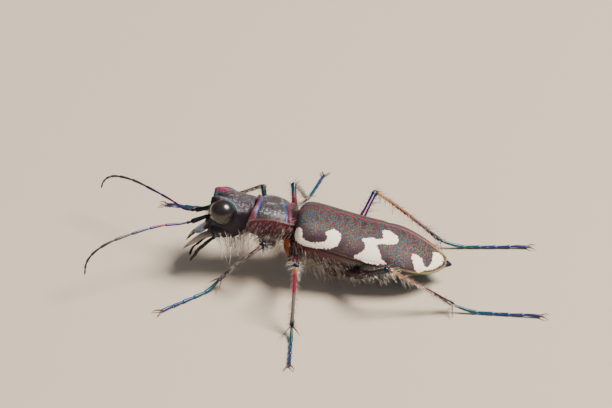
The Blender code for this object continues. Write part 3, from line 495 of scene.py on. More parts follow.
# Down the side: a teal line on the margin, a red one under it, then the maroon side plate.
fine = add(tree, "ShaderNodeTexNoise", {"Vector": place, "Scale": 6000.0, "Detail": 2.0})
centred = add(tree, "ShaderNodeMath", {0: fine, 1: 0.5}, operation="SUBTRACT")
ragged = add(tree, "ShaderNodeMath", {0: centred, 1: 0.07, 2: margin}, operation="MULTIPLY_ADD")
side_colour = add(tree, "ShaderNodeValToRGB", {"Fac": ragged},
                  [(0.38, "#4c1226"), (0.46, "#6a1c2e"), (0.490, "#862c3e"), (0.505, "#1b857c"),
                   (0.518, "#2a6663"), (0.540, "#5c2834"), (0.60, "#6c3a30")])
painted = laid_over(tree, painted, side_colour, ragged, 0.54, 0.68, 0.9)
roughen = add(tree, "ShaderNodeMath", {0: grains, 1: -1.0, 2: cloud}, operation="MULTIPLY_ADD")
bump = add(tree, "ShaderNodeBump", {"Strength": 0.6, "Distance": 0.02 * MM, "Height": roughen})
fill(shader, {"Base Color": painted, "Normal": bump})

# A squarish barrel whose two ends slant, each from its top to its sides.
share = np.linspace(0, 1, 90)
angle = np.linspace(-pi, pi, 120, endpoint=False)[None, :]
rear = PRONOTUM_ROWS[0][0]
front = PRONOTUM_ROWS[-1][0]
half_width, top, bottom = smooth(PRONOTUM_ROWS, rear + (front - rear) * share).T[:, :, None]
crown = np.maximum(np.cos(angle), 0) ** 1.5
first, last = (side + (middle - side) * crown for middle, side in (PRONOTUM_REAR, PRONOTUM_FRONT))
height = smooth(MARGIN_HEIGHT, share)
middle = top * height + bottom * (1 - height)
drop = np.where(np.cos(angle) > 0, top - middle, middle - bottom)
y = half_width * np.sign(np.sin(angle)) * np.abs(np.sin(angle)) ** PRONOTUM_SQUARENESS
rings = np.stack([first + (last - first) * share[:, None], y, middle + drop * np.cos(angle)], 2)
share = share[:, None] + 0 * angle
angle = angle + 0 * share
crown = np.clip(np.cos(angle), 0, 1)
across = np.abs(rings[..., 1])
above = np.clip(crown / 0.25, 0, 1)
front_line = FRONT_FURROW + 0.10 * np.clip(across / 1.2, 0, 1) ** 2 - 0.05 * bell(across, 0.0, 0.25)
rear_line = REAR_FURROW - 0.30 * np.clip((across - 0.3) / 1.2, 0, 1) + 0.05 * bell(across, 0.0, 0.25)
front_gap = np.abs(rings[..., 0] - front_line)
rear_gap = np.abs(rings[..., 0] - rear_line)
between = np.clip((rings[..., 0] - rear_line) * 4, 0, 1) * np.clip((front_line - rings[..., 0]) * 4, 0, 1)
middle_gap = across + (1 - between) * 0.5
sink = (0.06 * bell(front_gap, 0.0, 0.10) + 0.08 * bell(rear_gap, 0.0, 0.10)) * above
sink += 0.030 * bell(middle_gap, 0.0, 0.05) * above
sink -= 0.02 * bell(across, 0.75, 0.45) * between * above
sink -= 0.035 * bell(np.abs(angle), pi / 2, 0.07)
sink += 0.03 * bell(np.abs(angle), pi / 2 + 0.16, 0.08)
rings = rings - outward(rings) * sink[..., None]
low = np.clip((np.abs(angle) - pi / 2) / 0.15, 0, 1)
side_band = bell(np.abs(angle), pi / 2 - 0.42, 0.26)
spread = np.where(np.abs(angle) < pi / 2, 1.0, 0.0)
disc_hair = (0.55 + 0.45 * side_band) * spread * np.clip((np.abs(angle) - 0.12) / 0.3, 0.15, 1)
down_side = np.clip((np.abs(angle) - 1.95) / 0.65, 0, 1)
pleura_hair = low * (0.55 + 0.65 * down_side) * np.clip((2.85 - np.abs(angle)) / 0.3, 0, 1)
way = np.where(low[..., None] > 0.3, (0.55, 0.0, -0.80), (-0.35, 0.0, -0.15))
way = way + np.where(low[..., None] > 0.3, 0.0, 1.0) * np.stack(
    [0 * across, np.sign(rings[..., 1]) * -0.9, 0 * across], 2)
layers = {
    "furrow": np.minimum(front_gap, rear_gap) + (1 - above) * 0.5,
    "margin": 0.5 + (pi / 2 - np.abs(angle)) / 2.0,
    "rim": np.minimum(share, 1 - share) * 2.1,
    "hair": np.maximum(disc_hair * 0.75, pleura_hair),
    "length": np.where(low > 0.3, 0.34 + 0.80 * down_side, 0.20 + 0.12 * side_band),
    "lie": lying(rings, BODY, way, np.where(low > 0.3, 0.70, 0.14)[..., None]),
}
prothorax = shell("prothorax_skin", rings, BODY, shield_cuticle, layers)
mounted(prothorax, "pronotum", "pronotum")

# Head: a broad capsule with a flat, finely lined crown, a ridge over each eye, a groove round the
# eye and a socket for each feeler. Purple black with a metal gleam, rose to orange on the ridges
# and teal behind the eye.
HEAD_ROWS = ((2.58, 1.05, -0.14, -1.75), (2.90, 1.10, -0.12, -2.15), (3.25, 1.22, -0.09, -2.44),
             (3.70, 1.27, -0.08, -2.62), (4.15, 1.24, -0.17, -2.60), (4.60, 1.13, -0.54, -2.48),
             (4.90, 0.99, -1.18, -2.40), (5.05, 0.86, -1.80, -2.38), (5.12, 0.70, -2.06, -2.36))
EYES = {"left": (4.19, 1.38, -0.86), "right": (4.19, -1.34, -1.02)}
EYE_RADII = (0.72, 0.68, 0.71)
# Swellings of the capsule, each a centre and radii: brow, eye socket, cheek, plate over the lip.
BROW = ((4.44, 0.82, -0.38), (0.54, 0.26, 0.21))
HEAD_SWELLINGS = (BROW, ((4.19, 1.10, -0.94), (0.80, 0.40, 0.72)), ((4.25, 0.98, -2.15), (0.62, 0.26, 0.36)),
                  ((4.98, 0.0, -2.10), (0.20, 0.66, 0.26)))
FEELER_SOCKET = (5.02, 0.73, -1.46)

head_cuticle, tree, shader, brow, orbit, crest, glint = surface("head cuticle", {
    "Metallic": 0.40, "Roughness": 0.38, "Coat Weight": 0.1, "Coat Roughness": 0.25},
    "brow", "orbit", "crest", "glint")
place = add(tree, "ShaderNodeTexCoord", out="Object")
lined = add(tree, "ShaderNodeAttribute", out="Vector", attribute_name="lined")
cloud = add(tree, "ShaderNodeTexNoise", {"Vector": place, "Scale": 1500.0, "Detail": 3.0})
speckle = add(tree, "ShaderNodeTexNoise", {"Vector": place, "Scale": 9000.0, "Detail": 2.0})
grains = add(tree, "ShaderNodeTexVoronoi", {"Vector": place, "Scale": 12000.0})
face = add(tree, "ShaderNodeValToRGB", {"Fac": cloud},
           [(0.35, "#160a16"), (0.52, "#220f1e"), (0.66, "#141a2c"), (0.74, "#3a3440")])
crown_colour = add(tree, "ShaderNodeValToRGB", {"Fac": speckle},
                   [(0.36, "#174448"), (0.45, "#33262e"), (0.56, "#4e3a44"), (0.66, "#a2949a")])
brow_colour = add(tree, "ShaderNodeValToRGB", {"Fac": brow},
                  [(0.0, "#2c2028"), (0.30, "#185c64"), (0.50, "#7c2450"), (0.80, "#a84a2e")])
painted = laid_over(tree, face, crown_colour, crest, 0.35, 0.75, 0.0, 0.85)
painted = laid_over(tree, painted, brow_colour, brow, 0.20, 0.40, 0.0, 0.9)
painted = add(tree, "ShaderNodeMix", {0: glint, 6: painted, 7: "#15808c"}, data_type="RGBA")
painted = laid_over(tree, painted, "#060507", orbit, 0.04, 0.08, 0.95)
# Fine lines run lengthwise over the crown, about 0.016 mm apart, finer than the render shows.
lines = add(tree, "ShaderNodeTexWave", {"Vector": lined, "Scale": 1.0, "Distortion": 0.6, "Detail": 1.0,
                                        "Detail Scale": 0.4}, bands_direction="Y")
relief = add(tree, "ShaderNodeMath", {0: grains, 1: -0.5, 2: lines.node.outputs["Fac"]},
             operation="MULTIPLY_ADD")
bump = add(tree, "ShaderNodeBump", {"Strength": 0.5, "Distance": 0.015 * MM, "Height": relief})
fill(shader, {"Base Color": painted, "Normal": bump})


def swollen(rings, centre, radii, blend):
    """Rings pushed out, within each ring's own plane, to where an oval swelling's skin is."""
    centre = np.array(centre, float)
    radii = np.array(radii, float)
    hub = rings.mean(axis=1, keepdims=True)
    ray = rings - hub
    a = np.sum((ray / radii) ** 2, axis=2)
    b = np.sum((ray / radii) * ((hub - centre) / radii), axis=2)
    c = np.sum(((hub - centre) / radii) ** 2, axis=2) - 1
    reach = b * b - a * c
    far = np.where(reach > 0, (-b + np.sqrt(np.maximum(reach, 0))) / np.maximum(a, 1e-9), 0.0)
    out = np.logaddexp(blend, np.maximum(far, 0) * blend) / blend - np.log(2) / blend * (far < 1e-6)
    out = np.where(far > 0.5, out, 1.0)
    return hub + ray * np.maximum(out, 1.0)[..., None]


def oval_distance(points, centre, radii):
    """Rough distance in millimetres from the skin of an oval, below 0 inside it."""
    scaled = np.linalg.norm((points - np.array(centre)) / np.array(radii), axis=-1)
    return (scaled - 1) * min(radii)


x = np.concatenate([np.linspace(2.58, 4.90, 110)[:-1], np.linspace(4.90, 5.12, 26)])
half_width, top, bottom = smooth(HEAD_ROWS, x).T[:, :, None]
angle = np.linspace(-pi, pi, 192, endpoint=False) + 0 * x[:, None]
y = half_width * np.sign(np.sin(angle)) * np.abs(np.sin(angle)) ** 0.72
z = (top + bottom) / 2 + (top - bottom) / 2 * np.sign(np.cos(angle)) * np.abs(np.cos(angle)) ** 0.92
rings = np.stack([np.broadcast_to(x[:, None], y.shape), y, z], 2)
for (cx, cy, cz), radii in HEAD_SWELLINGS:
    for side in ((1, -1) if cy else (1,)):
        rings = swollen(rings, (cx, cy * side, cz), radii, 14.0)
level = np.stack([rings[..., 0], np.abs(rings[..., 1]), rings[..., 2]], 2)
orbit = np.minimum(*[oval_distance(rings, centre, EYE_RADII) for centre in EYES.values()])
socket = oval_distance(level, FEELER_SOCKET, (0.22, 0.22, 0.22))
crest = np.clip((np.cos(angle) - 0.2) / 0.6, 0, 1) * np.clip((4.7 - rings[..., 0]) / 0.5, 0, 1)
facing = np.clip(0.75 - 1.6 * outward(rings)[..., 1] * np.sign(rings[..., 1]), 0, 1)
brow = bell(np.linalg.norm((level - BROW[0]) / (0.62, 0.30, 0.34), axis=2), 0.0, 1.0) * facing
glint = bell(orbit, 0.10, 0.045) * np.clip((rings[..., 2] + 0.75) * 3, 0, 1)
glint *= np.clip((4.35 - rings[..., 0]) * 3, 0, 1)
sink = 0.03 * bell(orbit, 0.02, 0.035)
sink += 0.12 * bell(np.maximum(socket, 0), 0.0, 0.09) - 0.04 * bell(socket, 0.16, 0.05)
sink += 0.05 * bell(level[..., 1], 0.40, 0.18) * crest * bell(rings[..., 0], 4.1, 0.6)
sink += (0.05 * bell(rings[..., 0] + 0.10 * level[..., 1] ** 2, 4.90, 0.05)
         * np.clip(-np.cos(angle) * 4 + 1, 0, 1))
rings = rings - outward(rings) * sink[..., None]
under_head = np.clip((-np.cos(angle) - 0.15) / 0.4, 0, 1)
face_hair = bell(rings[..., 0], 4.80, 0.22) * np.clip((0.3 + np.cos(angle)) * 2, 0, 1) * 0.35
way = np.stack([0.35 - 0.8 * under_head, 0.5 * np.sign(rings[..., 1]) + 0 * under_head,
                -1.0 + 0 * under_head], 2)
layers = {
    "brow": brow,
    "orbit": orbit,
    "glint": glint,
    "crest": crest,
    "lined": np.stack([rings[..., 0] * 3.0, rings[..., 1] * 20.0, 0 * crest], 2),
    "hair": np.maximum(under_head * bell(rings[..., 0], 3.4, 0.8) * 1.4, face_hair) * (orbit > 0.2),
    "length": 0.26 + 1.30 * under_head,
    "lie": lying(rings, BODY, way, 0.85),
}
head = shell("head_capsule", rings, BODY, head_cuticle, layers)
mounted(head, "head", "head")

# Eyes: two large, bulging compound eyes, dark grey brown and glossy. Real facets are 0.02 mm
# across, too fine to show, so the net is drawn at 0.035 mm.
eye_cornea, tree, shader = surface("eye facets under clear cuticle", {
    "Roughness": 0.30, "Coat Weight": 0.55, "Coat Roughness": 0.10})
place = add(tree, "ShaderNodeTexCoord", out="Object")
facets = add(tree, "ShaderNodeTexVoronoi", {"Vector": place, "Scale": 28000.0, "Randomness": 0.2})
cloud = add(tree, "ShaderNodeTexNoise", {"Vector": place, "Scale": 1300.0, "Detail": 2.0})
pigment = add(tree, "ShaderNodeValToRGB", {"Fac": cloud},
              [(0.30, "#0f0c10"), (0.50, "#1b1516"), (0.68, "#2e251f")])
bump = add(tree, "ShaderNodeBump", {"Strength": 0.25, "Distance": 0.004 * MM, "Height": facets})
fill(shader, {"Base Color": laid_over(tree, pigment, "#0c0b0b", facets, 0.2, 0.6, 0.0, 0.45), "Normal": bump})
for side_name, centre in EYES.items():
    eye = shell("eye_%s_cornea" % side_name, ball(48, 72) * EYE_RADII + centre, BODY, eye_cornea)
    mounted(eye, "eye", "eye_" + side_name)

# Upper lip: a thin, pale plate hinged on the face, arched from side to side, with one tooth in
# front, a dark lower rim and a row of dark bristle pits.
LIP_ROOT = (5.05, 0.0, -2.20)
LIP_LENGTH = 0.90
LIP_HALF_WIDTH = 0.76
LIP_THICKNESS = 0.12
LIP_SLOPE = radians(36)
LIP_PITS = ((0.62, 0.22), (0.60, 0.42), (0.50, 0.58), (0.36, 0.66))

lip_cuticle, tree, shader, pit, rim = surface("pale lip cuticle", {
    "Roughness": 0.38, "Subsurface Weight": 0.15, "Subsurface Scale": 0.2 * MM, "Coat Weight": 0.3,
    "Coat Roughness": 0.2}, "pit", "rim")
pale = add(tree, "ShaderNodeValToRGB", {"Fac": rim},
           [(0.0, "#120c0a"), (0.06, "#221915"), (0.09, "#8c9098"), (0.30, "#a6acb8")])
fill(shader, {"Base Color": laid_over(tree, pale, "#1a1614", pit, 0.035, 0.055)})

share = np.linspace(0, 1, 44)[:, None]
turn = np.linspace(0, 2 * pi, 64, endpoint=False)[None, :]
outline = LIP_HALF_WIDTH * (0.90 + 0.10 * np.sin(pi * share)) * np.maximum(1 - share ** 3.2, 0) ** 0.5
across = np.cos(turn) * np.maximum(outline, 0.02)
tooth = 0.10 * bell(across, 0.0, 0.12) * share ** 3
thick = LIP_THICKNESS / 2 * (1 - 0.5 * share)
plate = np.stack([LIP_LENGTH * share * 0.92 + tooth, across,
                  np.sign(np.sin(turn)) * np.abs(np.sin(turn)) ** 0.6 * thick - 0.34 * across ** 2
                  - 0.10 * share ** 3], 2)
pits = np.min([np.hypot(plate[..., 0] - px, np.abs(plate[..., 1]) - py) for px, py in LIP_PITS], axis=0)
front_gap = np.maximum(1 - share, 0) * LIP_LENGTH * 0.5 + 0 * across
place = BODY @ Matrix.Translation(Vector(LIP_ROOT) * MM) @ Matrix.Rotation(LIP_SLOPE, 4, "Y")
lip = shell("upper_lip", plate, place, lip_cuticle, {"pit": pits, "rim": front_gap})
mounted(lip, "labrum", "labrum")

# Jaws: two flattened sickles, dull ivory at the base and black at the tip and at the ends of the
# three teeth of the inner edge. They are half open here, hinged under the cheeks.
JAW_PATH = ((4.57, 1.00, -2.30), (5.12, 1.14, -2.62), (5.67, 0.95, -3.20), (6.03, 0.50, -3.76))
FAR_JAW_PATH = ((4.57, 1.00, -2.30), (5.12, 1.10, -2.66), (5.70, 0.74, -3.10), (5.99, 0.20, -3.49))
JAW_RADII = (0.27, 0.23, 0.14, 0.02)
JAW_TEETH = ((0.42, 0.42, 0.085), (0.58, 0.44, 0.075), (0.74, 0.34, 0.06))

jaw_cuticle, tree, shader, along, below = surface("jaw cuticle", {
    "Roughness": 0.30, "Coat Weight": 0.4, "Coat Roughness": 0.12}, "along", "below")
ivory = add(tree, "ShaderNodeValToRGB", {"Fac": along},
            [(0.0, "#453f3a"), (0.15, "#70685e"), (0.62, "#867c6c"), (0.76, "#3a281b"), (0.86, "#0e0a08")])
# Each jaw is painted near black along its lower outer side.
fill(shader, {"Base Color": laid_over(tree, ivory, "#17100c", below, 0.72, 0.92, 0.0, 0.95)})


def curve(points, count):
    """Evenly spaced points, or values, on a smooth curve through the given ones."""
    points = np.array(points, float)
    steps = np.linalg.norm(np.diff(points[:, :3], axis=0), axis=1)
    length = np.concatenate([[0], np.cumsum(steps)])
    return smooth([(s, *p) for s, p in zip(length, points)], np.linspace(0, length[-1], count))


def tube(path, radii, around, flat=1.0, above=(0.0, 0.0, 1.0)):
    """Rings round a path, flattened by a factor along the way that starts out as above."""
    path = np.array(path, float)
    radii = np.broadcast_to(np.asarray(radii, float), (len(path),))
    tangent = np.gradient(path, axis=0)
    tangent /= np.linalg.norm(tangent, axis=1)[:, None]
    up = np.array(above, float)
    turn = np.linspace(0, 2 * pi, around, endpoint=False)
    rings = []
    for point, radius, ahead in zip(path, radii, tangent):
        up = up - ahead * np.dot(up, ahead)
        up /= np.linalg.norm(up)
        side = np.cross(ahead, up)
        ring = np.cos(turn)[:, None] * side + np.sin(turn)[:, None] * up * flat
        rings.append(point + ring * radius)
    return np.array(rings)


for side_name, side, row in (("left", 1, JAW_PATH), ("right", -1, FAR_JAW_PATH)):
    path = curve([(x, y * side, z) for x, y, z in row], 48)
    radii = curve([(3.0 * k, r, 0) for k, r in enumerate(JAW_RADII)], 48)[:, 1]
    grids = [tube(path, radii, 28, 0.72, (0, 0, 1))]
    alongs = [np.linspace(0, 1, 48)[:, None]]
    turn = np.linspace(0, 2 * pi, 28, endpoint=False)[None, :]
    belows = [-0.85 * np.sin(turn) - 0.52 * side * np.cos(turn)]
    for place, length, radius in JAW_TEETH:
        at = int(place * 47)
        onward = path[at + 1] - path[at]
        onward /= np.linalg.norm(onward)
        heading = onward * 0.45 - np.array((0.0, side, 0.15))
        tooth = curve([path[at], path[at] + heading * length * 0.5 + onward * 0.02,
                       path[at] + heading * length + onward * 0.10], 14)
        grids.append(tube(tooth, radius * 1.5 * (1 - np.linspace(0, 0.97, 14) ** 1.5), 12))
        alongs.append(np.linspace(0.45, 1, 14)[:, None])
        belows.append(np.zeros((1, 1)))
    jaw = shell("jaw_" + side_name, grids, BODY, jaw_cuticle, {"along": alongs, "below": belows})
    mounted(jaw, "mandible", "mandible_" + side_name)

# Palps: jointed feelers of the mouth, black with a green gleam, four segments on the outer pair
# and three on the inner pair, each segment a little wider at its far end.
PALPS = {
    "outer_palp_left": ((4.24, 0.94, -2.28), (4.76, 1.02, -2.97), (5.16, 1.00, -3.49), (5.49, 0.90, -4.24)),
    "outer_palp_right": ((4.51, -0.94, -2.60), (5.13, -0.90, -3.55), (5.56, -0.75, -4.02),
                         (5.67, -0.60, -4.45)),
    "inner_palp_left": ((4.24, 0.42, -2.59), (4.76, 0.44, -3.18), (5.13, 0.44, -3.69), (5.39, 0.38, -4.19)),
    "inner_palp_right": ((4.10, -0.42, -2.56), (4.73, -0.44, -3.30), (5.16, -0.44, -3.82),
                         (5.39, -0.38, -4.22)),
}
PALP_SHARES = {"outer": (0.5, 1.0, 0.7, 1.0), "inner": (0.5, 1.2, 0.9)}
PALP_NODES = {"outer": "maxillary_palp_", "inner": "labial_palp_"}
PALP_RADIUS = 0.075

palp_cuticle, tree, shader, along = surface("palp cuticle", {
    "Metallic": 0.4, "Roughness": 0.32, "Coat Weight": 0.1, "Coat Roughness": 0.2}, "along")
sheen = add(tree, "ShaderNodeValToRGB", {"Fac": along},
            [(0.0, "#2c1e16"), (0.10, "#101412"), (0.55, "#0c221e"), (0.94, "#080d0c"), (1.0, "#4e3f30")])
fill(shader, {"Base Color": sheen})


def jointed(shares, count, waist, taper):
    """Radius factors along a limb of joints with given shares of its length, and joint numbers."""
    shares = np.array(shares, float)
    ends = np.concatenate([[0], np.cumsum(shares / shares.sum())])
    at = np.linspace(0, 1, count)
    number = np.clip(np.searchsorted(ends, at, side="right") - 1, 0, len(shares) - 1)
    within = (at - ends[number]) / (ends[number + 1] - ends[number])
    swell = waist + (1 - waist) * np.clip(within / 0.75, 0, 1) ** 0.7
    swell *= np.where(within > 0.93, 1 - 0.45 * (within - 0.93) / 0.07, 1.0)
    return swell * (1 + (taper - 1) * at), number, within


for name, points in PALPS.items():
    pair, _, side_name = name.split("_")
    swell, number, within = jointed(PALP_SHARES[pair], 72, 0.55, 0.95)
    rings = tube(curve(points, 72), PALP_RADIUS * swell, 16, 1.0, (0, 1, 0))
    palp = shell(name, rings, BODY, palp_cuticle, {"along": np.linspace(0, 1, 72)[:, None]})
    mounted(palp, "palp", PALP_NODES[pair] + side_name)

# Feelers (antennae): eleven segments each. The first is a thick club in its socket, the second a
# bead, the next two slim and metallic blue and violet, and the rest dull and downy.
LEFT_FEELER = ((7.25, 1.30, 3.48), (8.45, 1.90, 3.62), (9.27, 2.48, 3.68), (10.30, 3.18, 3.64),
               (11.25, 3.82, 3.50), (12.02, 4.28, 3.10), (12.42, 4.46, 2.52), (12.55, 4.40, 1.70))
RIGHT_FEELER = ((7.45, -0.95, 2.96), (8.52, -1.68, 3.14), (9.60, -2.40, 3.28), (10.78, -3.18, 3.36),
                (11.78, -3.72, 3.26), (12.38, -4.10, 2.92), (12.74, -4.36, 2.42), (12.86, -4.38, 2.00))
FEELER_SHARES = (1.02, 0.26, 1.30, 0.96, 1.15, 1.05, 0.90, 0.66, 0.48, 0.42, 0.46)
FEELER_RADII = (0.140, 0.085, 0.074, 0.074, 0.076, 0.078, 0.078, 0.074, 0.070, 0.064, 0.056)

feeler_cuticle, tree, shader, segment = surface("feeler cuticle", {
    "Roughness": 0.38, "Coat Weight": 0.1, "Coat Roughness": 0.2}, "segment")
place = add(tree, "ShaderNodeTexCoord", out="Object")
down = add(tree, "ShaderNodeTexNoise", {"Vector": place, "Scale": 30000.0, "Detail": 2.0})
tint = add(tree, "ShaderNodeValToRGB", {"Fac": segment},
           [(0.0, "#0c2228"), (0.055, "#0c161e"), (0.095, "#060607"), (0.11, "#12161a"), (0.17, "#0a0a0d"),
            (0.19, "#20235a"), (0.26, "#451f66"), (0.28, "#641c2c"), (0.37, "#1f2c66"),
            (0.44, "#2e2148"), (0.47, "#2c2b2d"), (1.0, "#252426")])
gleam = add(tree, "ShaderNodeMapRange", {0: segment, 1: 0.44, 2: 0.47, 3: 0.6, 4: 0.05})
bump = add(tree, "ShaderNodeBump", {"Strength": 0.4, "Distance": 0.006 * MM, "Height": down})
fill(shader, {"Base Color": tint, "Metallic": gleam, "Normal": bump})

for side_name, side, joints in (("left", 1, LEFT_FEELER), ("right", -1, RIGHT_FEELER)):
    root = BODY @ (Vector((FEELER_SOCKET[0] - 0.06, FEELER_SOCKET[1] * side, FEELER_SOCKET[2])) * MM) / MM
    path = curve([tuple(root), *joints], 300)
    swell, number, within = jointed(FEELER_SHARES, 300, 0.62, 1.0)
    thick = np.array(FEELER_RADII)[number]
    tip = np.clip((1.0 - np.linspace(0, 1, 300)) / 0.02, 0.15, 1) ** 0.5
    rings = tube(path, thick * swell * tip, 18)
    feeler = shell("feeler_" + side_name, rings, Matrix(), feeler_cuticle,
                   {"segment": ((number + within) / 11)[:, None]})
    mounted(feeler, "antenna", *["antenna_%s_%s" % (side_name, part) for part in ("base", "middle", "tip")])

# Hips (coxae): a rounded base for each leg under the chest, with the small lobe that turns the
# leg (trochanter). Orange brown and glossy, the balls and lobes painted dark, partly as painted
# shade under the chest, with a pointed plate, the brightest, at the middle leg.
COXAE = {"fore": ((1.45, 0.64, -2.26), (0.50, 0.44, 0.52)), "mid": ((-0.22, 0.94, -2.58), (0.40, 0.46, 0.46)),
         "hind": ((-2.55, 0.98, -2.92), (0.62, 0.72, 0.36))}
# Knee, ankle and claw root of each leg, in the floor frame.
LEGS = {"fore_left": ((2.72, 3.45, 3.60), (5.20, 2.35, 0.62), (8.20, 5.25)),
        "mid_left": ((0.72, 5.05, 3.40), (0.80, 6.75, 0.52), (0.62, 9.95)),
        "hind_left": ((-4.30, 4.50, 3.12), (-7.92, 3.75, 0.52), (-12.75, 3.82)),
        "fore_right": ((3.44, -3.85, 3.03), (6.35, -5.75, 0.58), (9.30, -6.00)),
        "mid_right": ((1.76, -4.38, 2.95), (1.30, -6.88, 0.55), (0.50, -10.10)),
        "hind_right": ((-2.92, -4.75, 2.48), (-6.80, -2.85, 0.52), (-11.75, -3.30))}
# The pointed hip plate in front of each middle leg: points down its middle, on the left side.
LOBE_PATH = ((0.34, 1.20, -1.75), (0.24, 1.62, -2.02), (0.14, 1.72, -2.36), (0.06, 1.66, -2.66))
FEMUR_BOW = {"fore": 0.10, "mid": 0.18, "hind": 0.34}


def leg_cuticle(name, stops, gleam):
    """Glossy cuticle whose colour changes along a leg piece, from its root to its far end."""
    material, tree, shader, along = surface(name, {
        "Metallic": gleam, "Roughness": 0.34, "Coat Weight": 0.10, "Coat Roughness": 0.20}, "along")
    place = add(tree, "ShaderNodeTexCoord", out="Object")
    cloud = add(tree, "ShaderNodeTexNoise", {"Vector": place, "Scale": 6000.0, "Detail": 2.0})
    centred = add(tree, "ShaderNodeMath", {0: cloud, 1: 0.5}, operation="SUBTRACT")
    shifted = add(tree, "ShaderNodeMath", {0: centred, 1: 0.10, 2: along}, operation="MULTIPLY_ADD")
    ramp = add(tree, "ShaderNodeValToRGB", {"Fac": shifted}, stops)
    pits = add(tree, "ShaderNodeTexVoronoi", {"Vector": place, "Scale": 15000.0})
    bump = add(tree, "ShaderNodeBump", {"Strength": 0.35, "Distance": 0.008 * MM, "Height": pits})
    fill(shader, {"Base Color": ramp, "Normal": bump})
    return material


hip_cuticle = leg_cuticle("orange hip cuticle", [
    (0.0, "#2c100a"), (0.30, "#3a170c"), (0.70, "#4c2208"), (1.0, "#5e2c0a")], 0.1)
hips = {}
for pair, (centre, radii) in COXAE.items():
    for side_name, side in (("left", 1), ("right", -1)):
        leg = pair + "_" + side_name
        middle = np.array(centre) * (1, side, 1)
        knee = np.array(BODY.inverted() @ (Vector(LEGS[leg][0]) * MM)) / MM
        bend = (middle + knee) / 2 - (0, 0, FEMUR_BOW[pair])
        heading = bend - middle
        heading /= np.linalg.norm(heading)
        reach = 1 / np.linalg.norm(heading / np.array(radii))
        hip = middle + heading * (reach + 0.12)
        hips[leg] = (hip, bend, knee)
        droop = np.array((0.10, 0.0, -0.12))
        lobe = curve([middle + heading * reach * 0.55 + droop, hip + droop * 1.2,
                      hip + heading * 0.42 + droop * 1.6], 20)
        lobe_radii = 0.24 * np.sqrt(np.maximum(1 - np.linspace(-1, 0.995, 20) ** 4, 0.004))
        grids = [middle + ball(26, 40) * np.array(radii), tube(lobe, lobe_radii, 24)]
        # Balls and lobes take the dark end of the ramp, partly as painted shade under the chest.
        tints = [np.full((24, 1), 0.1), np.linspace(0.15, 0.45, 20)[:, None]]
        if pair == "mid":
            plate = curve([(x, y * side, z) for x, y, z in LOBE_PATH], 24)
            share = np.linspace(0, 1, 24)
            plate_radii = 0.25 * np.minimum(1.0, (1.02 - share) * 1.7) * np.linspace(0.9, 1, 24)
            grids.append(tube(plate, plate_radii, 20, 0.6, (0, side, 0)))
            tints.append(np.full((24, 1), 1.0))
        coxa = shell("hip_" + leg, grids, BODY, hip_cuticle, {"along": tints})
        mounted(coxa, "coxa", "coxa_" + leg)

# Thighs (femora): long and slender, a little bowed, thickest a third of the way out. Burgundy and
# violet metal that turns to teal and blue black at the knee.
FEMUR_RADII = {"fore": 0.250, "mid": 0.240, "hind": 0.235}
FEMUR_TINTS = {
    "fore": [(0.0, "#3f1220"), (0.45, "#36101e"), (0.80, "#12303c"), (1.0, "#0c202a")],
    "mid": [(0.0, "#3f1620"), (0.50, "#5a1428"), (0.72, "#6c1a34"), (0.86, "#103f50"), (1.0, "#0a2230")],
    "hind": [(0.0, "#3a121c"), (0.55, "#440c2e"), (0.86, "#2e1244"), (0.94, "#0d2c4a"), (1.0, "#0a1220")],
}
# The near hind thigh is painted darker than the others: painted shade, for the shadow under the body.
SHADED_TINTS = [(0.0, "#200c10"), (0.70, "#2a1018"), (0.90, "#122438"), (1.0, "#0a1424")]
hair_beds = []
hair_values = []
femur_cuticle = {p: leg_cuticle(p + " femur cuticle", tints, 0.5) for p, tints in FEMUR_TINTS.items()}
shaded_cuticle = leg_cuticle("shaded femur cuticle", SHADED_TINTS, 0.3)


def bristle_bed(rings, rows, density, length, lift, ahead):
    """Values that let hairs grow on a limb: rows are angles round it, 0 and pi on its two sides."""
    turn = np.linspace(0, 2 * pi, rings.shape[1], endpoint=False)[None, :]
    near = np.max([np.cos(turn - row) for row in rows], axis=0)
    share = np.clip((near - 0.75) / 0.2, 0, 1) + 0 * rings[..., 0]
    tangent = np.gradient(rings.mean(axis=1), axis=0)
    tangent /= np.linalg.norm(tangent, axis=1)[:, None]
    lie = tangent[:, None, :] * ahead + outward(rings) * lift
    hair_beds.append(rings)
    hair_values.append({"hair": share * density, "length": length + 0 * share, "lie": lie})


for leg in LEGS:
    pair, side_name = leg.split("_")
    side = 1 if side_name == "left" else -1
    path = np.array([BODY @ (Vector(p) * MM) / MM for p in curve(hips[leg], 60)])
    share = np.linspace(0, 1, 60)
    radii = 0.15 + (FEMUR_RADII[pair] - 0.15) * np.sin(pi * np.minimum(share * 1.25 + 0.12, 1.0)) ** 0.8
    radii += 0.030 * bell(share, 0.965, 0.030)
    radii *= np.clip((1.0 - share) / 0.03 + 0.25, 0, 1) ** 0.5
    rings = tube(path, radii, 32, 1.12)
    cuticle = shaded_cuticle if leg == "hind_left" else femur_cuticle[pair]
    femur = shell("femur_%s_skin" % leg, rings, Matrix(), cuticle, {"along": share[:, None]})
    mounted(femur, "femur", "femur_" + leg)
    tuft = bell(share, 0.97, 0.035)[:, None] * (1.6 if pair == "mid" else 0.5)
    hanging = bell(share, 0.80, 0.22)[:, None] if pair == "hind" else 0 * share[:, None]
    bristle_bed(rings, (-pi / 2, -pi / 2 + 0.9 * side, -pi / 2 - 0.9 * side), 0.8 + tuft,
                0.40 + 0.38 * hanging, 0.9, 0.8)
    bristle_bed(rings, (pi / 2, pi / 2 + 1.0, pi / 2 - 1.0), 0.10 + tuft, 0.32 + 0.14 * tuft, 0.9, 0.7)
